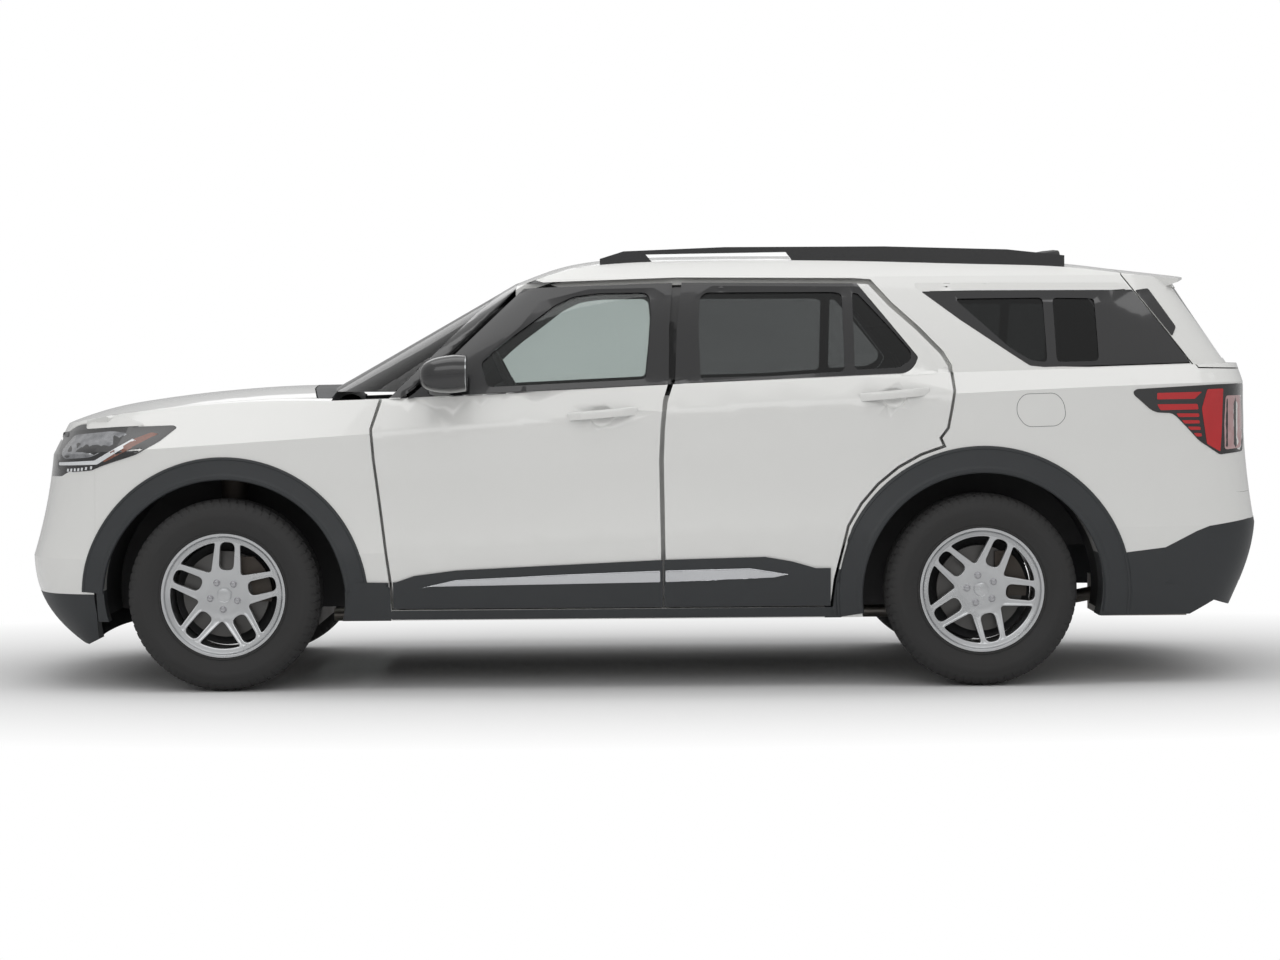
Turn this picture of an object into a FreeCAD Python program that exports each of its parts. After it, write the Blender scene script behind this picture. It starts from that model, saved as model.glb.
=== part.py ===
import FreeCAD, Part
import functools
import math
import os

# A white mid-size three-row suv. Millimetres, X forward, Y left, Z up, ground at Z = 0,
# origin on the ground at the middle of the length and width.

os.makedirs("parts", exist_ok=True)
Vec = FreeCAD.Vector

# Driving dimensions

# Overall
nose_x = 2525.0
tail_x = -2525.0
front_axle_x = 1665.0
wheelbase = 3025.0
rear_axle_x = front_axle_x - wheelbase

# Wheels and tyres
tyre_radius = 384.0
tyre_width = 255.0
tyre_crown = 9.0
rim_bead_radius = 228.6
rim_width = 216.0
rim_lip = 19.0
rim_lip_radius = rim_bead_radius + rim_lip
track = 1715.0
spoke_pairs = 5
spoke_width = 24.0
spoke_pitch = 80.0
spoke_depth = 34.0
rim_wall = 12.0
hub_radius = 74.0
hub_bore = 34.0
disc_radius = 172.0
disc_thick = 28.0
arch_radius = 485.0
arch_trim_width = 90.0
arch_trim_proud = 10.0

# Walls and gaps
panel_gap = 5.0
seam = 0.3
run_gap = 0.3
door_thick = 75.0
ring_gap = 6.0
ring_depth = 140.0
frame_thick = 38.0
upper_ring_depth = 92.0
skin_thick = 60.0
bumper_thick = 70.0
glass_thick = 4.5
glass_inset = 4.0
door_draft = 10.0
opening_flange = 30.0
hood_thick = 42.0
roof_thick = 34.0
clad_thick = 7.0

# Heights of the body's own lines, as places along the car and their heights
ridge_line = [(2520, 530), (992, 544), (492, 567), (-87, 595), (-476, 615), (-1000, 622), (-2500, 634)]
shoulder_line = [(2440, 940), (1457, 1000), (1069, 1023), (284, 1081), (-98, 1110), (-477, 1130),
                 (-1252, 1168), (-1947, 1197), (-2450, 1205)]
belt_line = [(2400, 1046), (2163, 1090), (1620, 1143), (1134, 1159), (798, 1168), (-120, 1212),
             (-478, 1224), (-1048, 1245), (-1648, 1260), (-2212, 1275), (-2463, 1280)]
hood_line = [(2620, 900), (2500, 985), (2428, 1040), (2387, 1069), (2329, 1094), (2212, 1129),
             (2036, 1160), (1860, 1182), (1684, 1198), (1507, 1209), (1366, 1213), (1200, 1214)]
hood_crown = 44.0
roof_line = [(700, 1560), (500, 1641), (330, 1701), (188, 1727), (0, 1740), (-350, 1745), (-900, 1738),
             (-1400, 1722), (-1804, 1702), (-1964, 1682), (-2191, 1655), (-2400, 1625)]
roof_crown = 46.0

# Lines that part the doors, seen from the side
door_front_edge = [(1041, 1154), (1073, 1045), (1064, 920), (1001, 424), (992, 285)]
door_split = [(-131, 1232), (-103, 1145), (-92, 1038), (-86, 910), (-93, 285)]
door_bottom_z = 321.0
sill_bottom_z = 276.0
steer_axis_y = 745.0


def line_at(points, x):
    # A smooth line through the points that never swings past them
    pts = sorted(points)
    if x <= pts[0][0]:
        return pts[0][1]
    if x >= pts[-1][0]:
        return pts[-1][1]
    steps = [b[0] - a[0] for a, b in zip(pts, pts[1:])]
    slopes = [(b[1] - a[1]) / (b[0] - a[0]) for a, b in zip(pts, pts[1:])]
    tangents = [slopes[0]]
    for left, right in zip(slopes, slopes[1:]):
        tangents.append(0 if left * right <= 0 else 2 * left * right / (left + right))
    tangents.append(slopes[-1])
    for i, h in enumerate(steps):
        if x <= pts[i + 1][0]:
            t = (x - pts[i][0]) / h
            rise = pts[i + 1][1] - pts[i][1]
            ease = t * t * (3 - 2 * t)
            return pts[i][1] + rise * ease + h * t * (1 - t) * (tangents[i] * (1 - t) - tangents[i + 1] * t)
    return pts[-1][1]


# Outer surfaces

def body_row(level, inset):
    # Control points of one plan curve of the lower body, nose centre to tail centre, left side
    z, nose, tail, fender, door, quarter = level
    nose, tail = nose - inset, tail + inset
    fender, door, quarter = fender - inset, door - inset, quarter - inset
    plan = [(nose, 0), (nose, 0.36 * fender), (nose - 40, 0.70 * fender), (nose - 150, 0.92 * fender),
            (nose - 440, fender), (1250, 0.4 * fender + 0.6 * door), (500, door), (-400, door),
            (-1300, quarter), (tail + 420, quarter), (tail + 130, 0.965 * quarter),
            (tail + 22, 0.80 * quarter), (tail, 0.42 * quarter), (tail, 0)]
    return [Vec(x, y, z(x)) for x, y in plan]


def cabin_row(level, inset):
    # The same for the glasshouse, with a swept windscreen
    z, nose, tail, half, sweep = level
    nose, tail, half = nose - inset, tail + inset, half - inset
    plan = [(nose, 0), (nose, 0.34 * half), (nose - 50 * sweep, 0.62 * half), (nose - 185 * sweep, 0.88 * half),
            (nose - 400 * sweep, 0.985 * half), (nose - 800, half), (-500, half), (tail + 900, 0.985 * half),
            (tail + 380, 0.955 * half), (tail + 130, 0.90 * half), (tail + 30, 0.74 * half),
            (tail, 0.38 * half), (tail, 0)]
    return [Vec(x, y, z(x)) for x, y in plan]


def ruled_bands(bands):
    # Closes bands of control rows into one half body with flat bottom, top and middle faces
    faces = []
    for rows in bands:
        poles = [list(column) for column in zip(*rows)]
        spans = len(poles) - 3
        sheet = Part.BSplineSurface()
        sheet.buildFromPolesMultsKnots(poles, [4] + [1] * (spans - 1) + [4], [len(rows)] * 2,
                                       [float(i) for i in range(spans + 1)], [0.0, 1.0],
                                       False, False, 3, len(rows) - 1)
        faces.append(sheet.toShape())
    bottom, top = bands[0][0], bands[-1][-1]
    middle = [e for f in faces for e in f.Edges if e.BoundBox.YMax < 1e-3]
    caps = []
    for face, row in ((faces[0], bottom), (faces[-1], top)):
        chord = Part.makeLine(row[-1], row[0])
        for e in face.Edges:
            level = all(abs(v.Point.z - row[0].z) < 1e-3 for v in e.Vertexes)
            if level and e.BoundBox.YMax > 10:
                caps.append(Part.Face(Part.Wire([e, chord])))
        middle.append(chord)
    faces += caps
    faces.append(Part.Face(Part.Wire(Part.__sortEdges__(middle))))
    shell = Part.Compound(faces)
    shell.sewShape(0.01)
    solid = Part.makeSolid(shell.Shells[0])
    if solid.Volume < 0:
        solid.reverse()
    return solid


def flat(z):
    return lambda x: z


def ridge(x):
    return line_at(ridge_line, x)


def shoulder(x):
    return line_at(shoulder_line, x)


def belt(x):
    return line_at(belt_line, x)


def waist(x):
    return 0.5 * (ridge(x) + shoulder(x))


# Each level: height, nose, tail, half width at the fender, the doors and the quarter
body_levels = {
    "bottom": (flat(140), 2300, -2380, 860, 880, 880),
    "sill": (flat(290), 2514, -2400, 925, 940, 935),
    "low": (flat(430), 2523, -2515, 950, 968, 962),
    "ridge": (ridge, 2526, -2527, 962, 982, 975),
    "waist": (waist, 2462, -2478, 945, 940, 950),
    "shoulder": (shoulder, 2441, -2480, 955, 978, 975),
    "belt": (belt, 2400, -2463, 790, 925, 915),
    "top": (flat(1420), 2200, -2300, 480, 780, 800),
}
body_bands = [("bottom", "sill", "low", "ridge"), ("ridge", "waist", "shoulder"), ("shoulder", "belt"),
              ("belt", "top")]

cabin_levels = [
    (flat(1100), 1460, -2520, 950, 1.0),
    (flat(1240), 1208, -2463, 912, 0.9),
    (flat(1420), 890, -2345, 845, 0.7),
    (flat(1640), 498, -2215, 705, 0.25),
    (flat(1800), 215, -2130, 560, 0.2),
]


@functools.lru_cache(maxsize=None)
def body_half(inset):
    return ruled_bands([[body_row(body_levels[name], inset) for name in band] for band in body_bands])


@functools.lru_cache(maxsize=None)
def cabin_half(inset):
    low, sill, mid, rail, top = [cabin_row(level, inset) for level in cabin_levels]
    return ruled_bands([(low, sill), (sill, mid, rail), (rail, top)])


def crowned_face(line, crown, x_min, x_max, reach=1250.0):
    # A lid's surface: a smooth line along the car, falling to both sides as a parabola
    places = [x_min] + [x for x, z in sorted(line) if x_min < x < x_max] + [x_max]
    middle = Part.BSplineCurve()
    middle.interpolate([Vec(x, 0, line_at(line, x)) for x in places])
    fall = crown * (reach / 750.0) ** 2
    rows = [[Vec(p.x, -reach, p.z - fall), Vec(p.x, 0, p.z + fall), Vec(p.x, reach, p.z - fall)]
            for p in middle.getPoles()]
    sheet = Part.BSplineSurface()
    sheet.buildFromPolesMultsKnots(rows, middle.getMultiplicities(), [3, 3], middle.getKnots(), [0.0, 1.0],
                                   False, False, middle.Degree, 2)
    return sheet.toShape()


def layer(face, d0, d1):
    # The layer under a lid's surface between two depths
    return face.translated(Vec(0, 0, -d1)).extrude(Vec(0, 0, d1 - d0))


# Outline helpers

def grow(points, d):
    # The same outline moved outwards by d, corner for corner
    n = len(points)
    area = sum(points[i][0] * points[(i + 1) % n][1] - points[(i + 1) % n][0] * points[i][1] for i in range(n))
    side = 1.0 if area > 0 else -1.0
    out = []
    for i in range(n):
        (x0, z0), (x1, z1), (x2, z2) = points[i - 1], points[i], points[(i + 1) % n]
        a, b = math.hypot(x1 - x0, z1 - z0), math.hypot(x2 - x1, z2 - z1)
        nx0, nz0 = side * (z1 - z0) / a, -side * (x1 - x0) / a
        nx1, nz1 = side * (z2 - z1) / b, -side * (x2 - x1) / b
        k = d / (1 + nx0 * nx1 + nz0 * nz1)
        out.append((x1 + k * (nx0 + nx1), z1 + k * (nz0 + nz1)))
    return out


def wire_at(points, y):
    pts = [Vec(x, y, z) for x, z in points]
    return Part.makePolygon(pts + [pts[0]])


def side_prism(points, y0, y1):
    return Part.Face(wire_at(points, y0)).extrude(Vec(0, y1 - y0, 0))


def draft_prism(points, y_out, y_in, shrink):
    # A side prism whose inner end is smaller all round
    return Part.makeLoft([wire_at(points, y_out), wire_at(grow(points, -shrink), y_in)], True, True)


def plan_prism(points, z0, z1):
    pts = [Vec(x, y, z0) for x, y in points]
    return Part.Face(Part.makePolygon(pts + [pts[0]])).extrude(Vec(0, 0, z1 - z0))


def box(x0, x1, y0, y1, z0, z1):
    return Part.makeBox(x1 - x0, y1 - y0, z1 - z0, Vec(x0, y0, z0))


def tube_y(radius, x, z, y0, y1):
    return Part.makeCylinder(radius, y1 - y0, Vec(x, y0, z), Vec(0, 1, 0))


def rod(a, b, radius):
    d = Vec(*b) - Vec(*a)
    return Part.makeCylinder(radius, d.Length, Vec(*a), d)


def spun_y(points, x, z, y=0.0):
    # A profile of (radius, y) points turned about a wheel's axle
    pts = [Vec(x + r, y + py, z) for r, py in points]
    return Part.Face(Part.makePolygon(pts + [pts[0]])).revolve(Vec(x, y, z), Vec(0, 1, 0), 360)


def mirrored(shape):
    return shape.mirror(Vec(0, 0, 0), Vec(0, 1, 0))


def both(shape):
    return [shape, mirrored(shape)]


def whole(half):
    return half.fuse(mirrored(half)).removeSplitter()


def joined(shapes):
    total = shapes[0]
    for shape in shapes[1:]:
        total = total.fuse(shape)
    return total.removeSplitter()


def save(name, shapes):
    shapes = shapes if isinstance(shapes, list) else [shapes]
    solids = [s for shape in shapes for s in shape.Solids]
    body = solids[0] if len(solids) == 1 else Part.Compound(solids)
    for i, s in enumerate(solids):
        if not s.isValid() or s.Volume < 1:
            print("check", name, i, s.isValid(), s.Volume)
    body.exportStep("parts/" + name + ".step")
    return body


# Shells by depth

outer = body_half(0)
cabin_outer = cabin_half(0)
deep = 1700.0
cowl_back_x = 1235.0
hood_face = crowned_face(hood_line, hood_crown, cowl_back_x, 2620)
belt_face = crowned_face(belt_line, 0, -2620, cowl_back_x)
roof_face = crowned_face(roof_line, roof_crown, -2400, 520)
hood_slab = layer(hood_face, 0, deep)
belt_slab = layer(belt_face, 0, deep)
roof_slab = layer(roof_face, 0, deep)
lower_half = outer.common(hood_slab.fuse(belt_slab))
below_roof = roof_slab.fuse(box(520, 1600, -1250, 1250, 100, 1900))
above_belt = box(-2600, cowl_back_x, -1200, 1200, 1000, 1900).cut(belt_slab)
above_belt = above_belt.fuse(box(cowl_back_x, 1500, -1200, 1200, 1150, 1900))
upper_half = cabin_outer.common(below_roof).common(above_belt)


def roof_skin(d0, d1):
    # A layer of the roof between two depths
    return layer(roof_face, d0, d1).common(cabin_outer)


@functools.lru_cache(maxsize=None)
def lower_shell(d0, d1):
    # The lower body's wall from depth d0 to d1
    shell = lower_half.cut(body_half(d1))
    return shell if d0 == 0 else shell.common(body_half(d0))


@functools.lru_cache(maxsize=None)
def upper_shell(d0, d1):
    shell = upper_half.cut(cabin_half(d1))
    return shell if d0 == 0 else shell.common(cabin_half(d0))


# Door outlines

def door_lower_outline(front):
    if front:
        edge = list(door_front_edge[:-1]) + [(994, door_bottom_z)]
        back = [p for p in reversed(door_split) if p[1] > door_bottom_z]
        top = [(-131, 1330), (900, 1330), (1041, 1154 + 60)]
        return edge + [(-93, door_bottom_z)] + back + top
    edge = [p for p in door_split[1:-1]] + [(-93, door_bottom_z)]
    arch = []
    for deg in (26, 36, 46, 56, 66, 76):
        a = math.radians(deg)
        reach = arch_radius + arch_trim_width + 14
        arch.append((rear_axle_x + reach * math.cos(a), tyre_radius + reach * math.sin(a)))
    back = [(-1202, 990), (-1231, 1028), (-1247, 1114), (-1257, 1180), (-1249, 1278)]
    return edge + [(-765, door_bottom_z), (-778, 430)] + arch + back + [(-1249, 1400), (-131, 1400), (-131, 1232)]


front_frame = [(1041, 1100), (900, 1200), (474, 1622), (-157, 1640), (-137, 1430), (-131, 1232), (-103, 1100)]
rear_frame = [(-103, 1100), (-131, 1232), (-137, 1430), (-157, 1640), (-866, 1632), (-938, 1627), (-1018, 1534),
              (-1125, 1433), (-1218, 1333), (-1249, 1278), (-1257, 1100)]
front_window = [(770, 1178), (575, 1355), (470, 1440), (390, 1540), (200, 1588), (-60, 1592), (-95, 1570),
                (-98, 1480), (-92, 1226)]
rear_window = [(-215, 1236), (-235, 1560), (-300, 1598), (-880, 1590), (-960, 1530), (-1040, 1440), (-1150, 1320),
               (-1180, 1262), (-1130, 1252)]
quarter_window = [(-1147, 1600), (-1343, 1448), (-1502, 1331), (-1600, 1272), (-1800, 1268), (-2217, 1279),
                  (-2090, 1440), (-1965, 1590)]
leaf_heights = (470, 930)

wide_y = 1300.0

# Lines that part the front of the body

header_x = 500.0
roof_edge_y = 640.0
screen_side = [(1000, 1165), (header_x, 1662)]
bumper_line_x = 2180.0
fender_zone = side_prism([(1046, 1240), (1078, 1045), (1069, 920), (1006, 424), (998, sill_bottom_z),
                          (bumper_line_x, sill_bottom_z), (bumper_line_x, 400), (bumper_line_x, 900), (2120, 1240)],
                         300, wide_y)

# Doors


def door_solid(front):
    low = door_lower_outline(front)
    frame = front_frame if front else rear_frame
    window = front_window if front else rear_window
    cut_low = draft_prism(grow(low, -panel_gap / 2), wide_y, wide_y - 500, door_draft * 1.0)
    panel = lower_shell(0, door_thick).common(cut_low)
    cut_up = draft_prism(grow(frame, -panel_gap / 2), wide_y, wide_y - 700, door_draft * 2.0)
    upper = upper_shell(0, frame_thick).common(cut_up).common(box(-1500, 1300, roof_edge_y + panel_gap, wide_y, 1000, 1800))
    hole = side_prism(window, 300, wide_y)
    leaf_x = (door_front_edge[-1][0] if front else door_split[-1][0]) - 20
    leaves = [lower_shell(door_thick, door_thick + ring_gap - run_gap).common(box(leaf_x - 60, leaf_x, 300, wide_y, z, z + 90))
              for z in leaf_heights]
    door = panel.fuse([upper] + leaves).cut(hole)
    glass = upper_shell(glass_inset, glass_inset + glass_thick).common(side_prism(grow(window, -seam), 300, wide_y))
    return door, glass


doors = {}
for name, is_front in (("front", True), ("rear", False)):
    panel, glass = door_solid(is_front)
    doors[name] = (panel, glass)
    save("door_" + name + "_left_panel", panel)
    save("door_" + name + "_right_panel", mirrored(panel))
    save("door_" + name + "_left_glass", glass)
    save("door_" + name + "_right_glass", mirrored(glass))

# Tailgate outline and lamp outline

gate_side = [(-1963, 1800), (-1963, 1640), (-2235, 1262), (-2700, 1252), (-2700, 1800)]
gate_half_width = 700.0
gate_bottom_z = 768.0
lamp_rear = [(-1958, 1222), (-2280, 1240), (-2700, 1250), (-2700, 1150), (-2366, 1150), (-2366, 990), (-2330, 985),
             (-2228, 1040), (-2134, 1130), (-2110, 1145), (-2030, 1150)]


def gate_zone(d):
    upper = side_prism(grow(gate_side, d), -1, wide_y)
    return upper.fuse(box(-2700, -2300, -1, gate_half_width + d, gate_bottom_z - d, 1262))


gate_gap = gate_zone(panel_gap / 2)

# Body sides: the ring round the doors, the sill and the whole rear quarter


def arch_cut(x, extra=0.0):
    return tube_y(arch_radius + extra, x, tyre_radius, 500, wide_y)


def body_side():
    zone_low = side_prism([(1120, sill_bottom_z), (1120, 1300), (-2700, 1300), (-2700, 770), (-2378, 763), (-2210, 700),
                           (-1835, 700), (-1885, 560), (-2000, 400), (-1880, 276)], 300, wide_y)
    wall = lower_shell(0, ring_depth).common(zone_low)
    front_low, rear_low = door_lower_outline(True), door_lower_outline(False)
    pocket_skin = lower_shell(0, door_thick + ring_gap)
    for outline in (front_low, rear_low):
        wall = wall.cut(pocket_skin.common(side_prism(grow(outline, panel_gap / 2), 300, wide_y)))
    wall = wall.cut(lower_shell(0, skin_thick + seam).common(fender_zone))
    top_zone = side_prism([screen_side[0], screen_side[1], (screen_side[1][0], 1900), (-2500, 1900), (-2500, 1200),
                           (0, 1100), (1000, 1100)], 300, wide_y)
    cant_rail = box(-2400, header_x, roof_edge_y, wide_y, 1100, 1900).fuse(box(header_x, 1300, 300, wide_y, 1100, 1900))
    upper = upper_shell(0, upper_ring_depth).common(top_zone).common(cant_rail)
    skin = upper_shell(0, frame_thick + ring_gap)
    for outline in (front_frame, rear_frame):
        upper = upper.cut(skin.common(side_prism(grow(outline, panel_gap / 2), 300, wide_y)))
    side = wall.fuse(upper)
    for front in (True, False):
        low = door_lower_outline(front)
        low = [p for p in low if p[1] < 1210]
        frame = front_window if front else rear_window
        side = side.cut(side_prism(grow(frame, 12), 300, wide_y))
    side = side.cut(side_prism([(960, 1130), (930, 440), (-20, 440), (-30, 1190), (-30, 1215), (700, 1180)], 300, wide_y))
    side = side.cut(side_prism([(-180, 1200), (-180, 440), (-700, 440), (-810, 760), (-1000, 930), (-1150, 1010),
                                (-1180, 1240)], 300, wide_y))
    side = side.cut(side_prism(quarter_window, 300, wide_y))
    side = side.cut(arch_cut(rear_axle_x)).cut(gate_gap).cut(side_prism(lamp_rear, 300, wide_y))
    return side


side_left = body_side()
save("body_side_left", side_left)
save("body_side_right", mirrored(side_left))
quarter_glass = upper_shell(glass_inset, glass_inset + glass_thick).common(
    side_prism(grow(quarter_window, -seam), 300, wide_y))
save("quarter_glasses", both(quarter_glass))

# Roof, windscreen and backlight

roof_rear_x = gate_side[0][0] + panel_gap / 2
roof_half = roof_skin(0, roof_thick).common(box(roof_rear_x, header_x - seam, 0, roof_edge_y - seam, 1400, 1900))
save("roof_panel", whole(roof_half))
screen_zone = side_prism([(1330, 1190), (1330, 1500), (header_x, 1760), screen_side[1], (screen_side[0][0] - 25, 1190)],
                         0, 900)
screen_half = upper_shell(0, glass_thick + 1).common(screen_zone).common(box(header_x + seam, 1400, 0, 900, 1000, 1900))
screen_half = screen_half.cut(side_left)
save("windscreen", whole(screen_half))

# Hood and cowl

hood_outline = [(2425, -20), (2415, 350), (2362, 600), (2219, 722), (2038, 745), (1590, 765), (1300, 772), (1345, 400),
                (1366, -20)]


def hood_skin(d0, d1):
    return layer(hood_face, d0, d1)


bay = box(1000, 2600, 0, 900, 700, 1400)
hood_half = hood_skin(0, hood_thick).common(plan_prism(grow(hood_outline, -panel_gap / 2), 700, 1300)).common(outer)
cowl_outline = [(1363, -20), (1342, 400), (1297, 772), (1240, 790), (1240, -20)]
cowl_plan = plan_prism(cowl_outline, 700, 1300)
hood_leaf = hood_skin(22, hood_thick).common(box(1280, 1350, 690, 740, 700, 1400))
hood_leaf = hood_leaf.cut(plan_prism(grow(cowl_outline, run_gap), 700, 1300))
hood_half = hood_half.fuse(hood_leaf).common(bay)
save("hood_panel", whole(hood_half))
cowl_half = hood_skin(0, hood_thick).common(cowl_plan).common(bay).cut(screen_half).cut(side_left)
save("cowl_panel", whole(cowl_half))

# Fenders, bumpers and lamps

lamp_outline = [(2472, 905), (2440, 1010), (2380, 1062), (2130, 1092), (2010, 1062), (2090, 1000), (2200, 930), (2330, 860),
                (2480, 850)]
hood_gap = plan_prism(grow(hood_outline, panel_gap / 2), 700, 1300)
fender = lower_shell(0, skin_thick).common(fender_zone).cut(arch_cut(front_axle_x)).cut(hood_gap)
lamp_inner_y = 563.0
lamp_prism = side_prism(lamp_outline, lamp_inner_y, wide_y)
headlamp = lower_shell(0, skin_thick).common(side_prism(grow(lamp_outline, -seam), lamp_inner_y + seam, wide_y)).cut(hood_gap)
fender = fender.cut(lamp_prism)
fender = fender.cut(box(900, 1260, 0, 778, 900, 1300))
save("front_fenders", both(fender))
save("headlamps", both(headlamp))

fascia_top = 388.0
bumper_zone = box(bumper_line_x + seam, 2600, 0, wide_y, fascia_top + seam, 1300)
bumper_half = lower_shell(0, bumper_thick).common(bumper_zone).cut(lamp_prism).cut(hood_gap)
grille_cut = box(2300, 2700, -1, 560, 560, 960)
bumper_half = bumper_half.cut(grille_cut).cut(arch_cut(front_axle_x, 40))
bumper_half = bumper_half.common(box(0, nose_x, 0, 1300, 0, 1300))
save("front_bumper_cover", whole(bumper_half))
fascia_zone = side_prism([(bumper_line_x, fascia_top), (2600, fascia_top), (2600, 180), (2250, 170), (2190, 200)], -1, wide_y)
fascia_half = lower_shell(0, bumper_thick).common(fascia_zone).cut(arch_cut(front_axle_x, 40))
fascia_half = fascia_half.common(box(0, nose_x, 0, 1300, 0, 1300))
save("front_lower_fascia", whole(fascia_half))
grille_half = lower_shell(14, 34).common(box(2300, 2700, -1, 560 - seam, 560 + seam, 960 - seam))
grille_half = grille_half.common(box(0, 2600, 0, 1300, 0, 1300))
save("grille", whole(grille_half))

# Tail

tail_lamp = lower_shell(0, 90).common(side_prism(grow(lamp_rear, -seam), 300, wide_y)).cut(gate_gap)
gate_low = lower_shell(0, 80).common(gate_zone(-panel_gap / 2))
gate_up = upper_shell(0, 50).common(gate_zone(-panel_gap / 2))
gate_top = roof_skin(0, 40).common(gate_zone(-panel_gap / 2))
spoiler_side = [(-2040, 1500), (-2040, 1800), (-2256, 1800), (-2254, 1626), (-2190, 1607), (-2130, 1585)]
spoiler_plan = plan_prism([(-2000, -20), (-2262, -20), (-2250, 420), (-2205, 590), (-2000, 620)], 1400, 1800)
spoiler = side_prism(spoiler_side, 0, 700).common(spoiler_plan).common(roof_slab)
gate_leaf = roof_skin(18, roof_thick).common(box(-1990, roof_rear_x - run_gap, 350, 420, 1400, 1800))
back_window = [(640, 1300), (560, 1590), (-560, 1590), (-640, 1300)]


def rear_prism(points, x0, x1):
    pts = [Vec(x0, y, z) for y, z in points]
    return Part.Face(Part.makePolygon(pts + [pts[0]])).extrude(Vec(x1 - x0, 0, 0))


gate_half = gate_low.fuse([gate_up, gate_top]).cut(rear_prism(back_window, -2700, -2000))
gate_half = gate_half.fuse([spoiler, gate_leaf])
gate_full = whole(gate_half)
save("tailgate_panel", gate_full)
gate_glass = upper_shell(glass_inset, glass_inset + glass_thick).common(
    rear_prism(grow(back_window, -seam), -2700, -2000))
save("tailgate_glass", whole(gate_glass))
save("tail_lamps", both(tail_lamp))
rear_zone = side_prism([(-1835, 700), (-2210, 700), (-2378, 763), (-2700, 763), (-2700, 400), (-2000, 400), (-1885, 560)], -1,
                       wide_y)
rear_bumper = lower_shell(0, bumper_thick).common(rear_zone).cut(arch_cut(rear_axle_x, 2))
rear_bumper = rear_bumper.common(box(tail_x, 0, 0, 1300, 0, 1300)).cut(side_left)
save("rear_bumper_cover", whole(rear_bumper))
rear_low_zone = side_prism([(-2000, 400 - seam), (-2700, 400 - seam), (-2700, 200), (-2300, 330), (-2200, 276), (-1880, 276)],
                           -1, wide_y)
rear_fascia = lower_shell(0, bumper_thick).common(rear_low_zone).cut(arch_cut(rear_axle_x, 2)).cut(side_left)
rear_fascia = rear_fascia.common(box(tail_x, 0, 0, 1300, 0, 1300))
save("rear_lower_fascia", whole(rear_fascia))

# Cladding: sill strips on the doors, arch mouldings on the body

clad_top = [(975, 432), (903, 457), (736, 478), (379, 494), (-87, 514), (-496, 523), (-603, 504), (-698, 476), (-760, 476)]


def clad_line(x):
    return line_at(clad_top, x)


def proud_shell(proud):
    # The skin just outside the body, for what is clipped onto it
    return body_half(-proud).cut(body_half(-seam))


def door_clad(front):
    x0, x1 = (-90 + panel_gap / 2, 990) if front else (-757, -90 - panel_gap / 2)
    places = [x1 - 2] + [x for x, z in clad_top if x0 < x < x1 - 2] + [x0]
    points = [(x, clad_line(x)) for x in places] + [(x0, door_bottom_z + 3), (x1 - 2, door_bottom_z + 3)]
    return proud_shell(clad_thick).common(side_prism(points, 300, wide_y))


for name, is_front in (("front", True), ("rear", False)):
    clad = door_clad(is_front)
    save("door_" + name + "_left_cladding", clad)
    save("door_" + name + "_right_cladding", mirrored(clad))

trim_outer = arch_radius + arch_trim_width


def arch_trim(x, x0, x1):
    ring = tube_y(trim_outer, x, tyre_radius, 500, wide_y).cut(arch_cut(x))
    return proud_shell(arch_trim_proud).common(ring).common(box(x0, x1, 300, wide_y, sill_bottom_z, 1200))


front_trim = arch_trim(front_axle_x, 1000 + panel_gap, bumper_line_x)
rear_trim = arch_trim(rear_axle_x, -2500, -700)
rear_door_zone = side_prism(grow(door_lower_outline(False), panel_gap / 2), 300, wide_y)
rear_trim = rear_trim.cut(rear_door_zone)
sill_trim = proud_shell(clad_thick).common(box(-770, 985, 300, wide_y, sill_bottom_z, door_bottom_z - panel_gap))
save("body_cladding", both(front_trim) + both(rear_trim) + both(sill_trim))

# Roof rails

rail_front_x = 157.0
rail_rear_x = -1735.0
rail_y = 620.0
rail_width = 34.0
rail_top = [(rail_front_x, 1722), (60, 1752), (-350, 1766), (-1000, 1764), (-1500, 1748), (rail_rear_x, 1722)]


def roof_rail():
    top = [(x, z) for x, z in rail_top]
    base = [(x, line_at(roof_line, x) - roof_crown * (rail_y / 750.0) ** 2 - 12) for x, z in reversed(rail_top)]
    bar = side_prism(top + base, rail_y - rail_width / 2, rail_y + rail_width / 2)
    roof_cut = roof_slab.translated(Vec(0, 0, seam))
    gap = side_prism([(-70, 1690), (-30, 1738), (-600, 1744), (-640, 1690)], 500, 800)
    return bar.cut(roof_cut).cut(gap)


save("roof_rails", both(roof_rail()))

# Wheels and tyres

half_tyre = tyre_width / 2
face_y = rim_width / 2
tyre_profile = [(rim_bead_radius, -face_y + 15), (rim_lip_radius + 1, -face_y + 10), (rim_lip_radius + 2, -face_y),
                (rim_lip_radius + 18, -half_tyre + 4),
                (305, -half_tyre), (348, -half_tyre + 5), (370, -half_tyre + 18),
                (tyre_radius - 3, -half_tyre + 36), (tyre_radius, -60), (tyre_radius, 60),
                (tyre_radius - 3, half_tyre - 36), (370, half_tyre - 18), (348, half_tyre - 5), (305, half_tyre),
                (rim_lip_radius + 18, half_tyre - 4), (rim_lip_radius + 2, face_y), (rim_lip_radius + 1, face_y - 10),
                (rim_bead_radius, face_y - 15), (rim_bead_radius, face_y - 30), (285, half_tyre - 20), (350, half_tyre - 30),
                (tyre_radius - 16, 50), (tyre_radius - 16, -50), (350, -half_tyre + 30), (285, -half_tyre + 20),
                (rim_bead_radius, -face_y + 30)]
disc_y = -8.0


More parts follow.
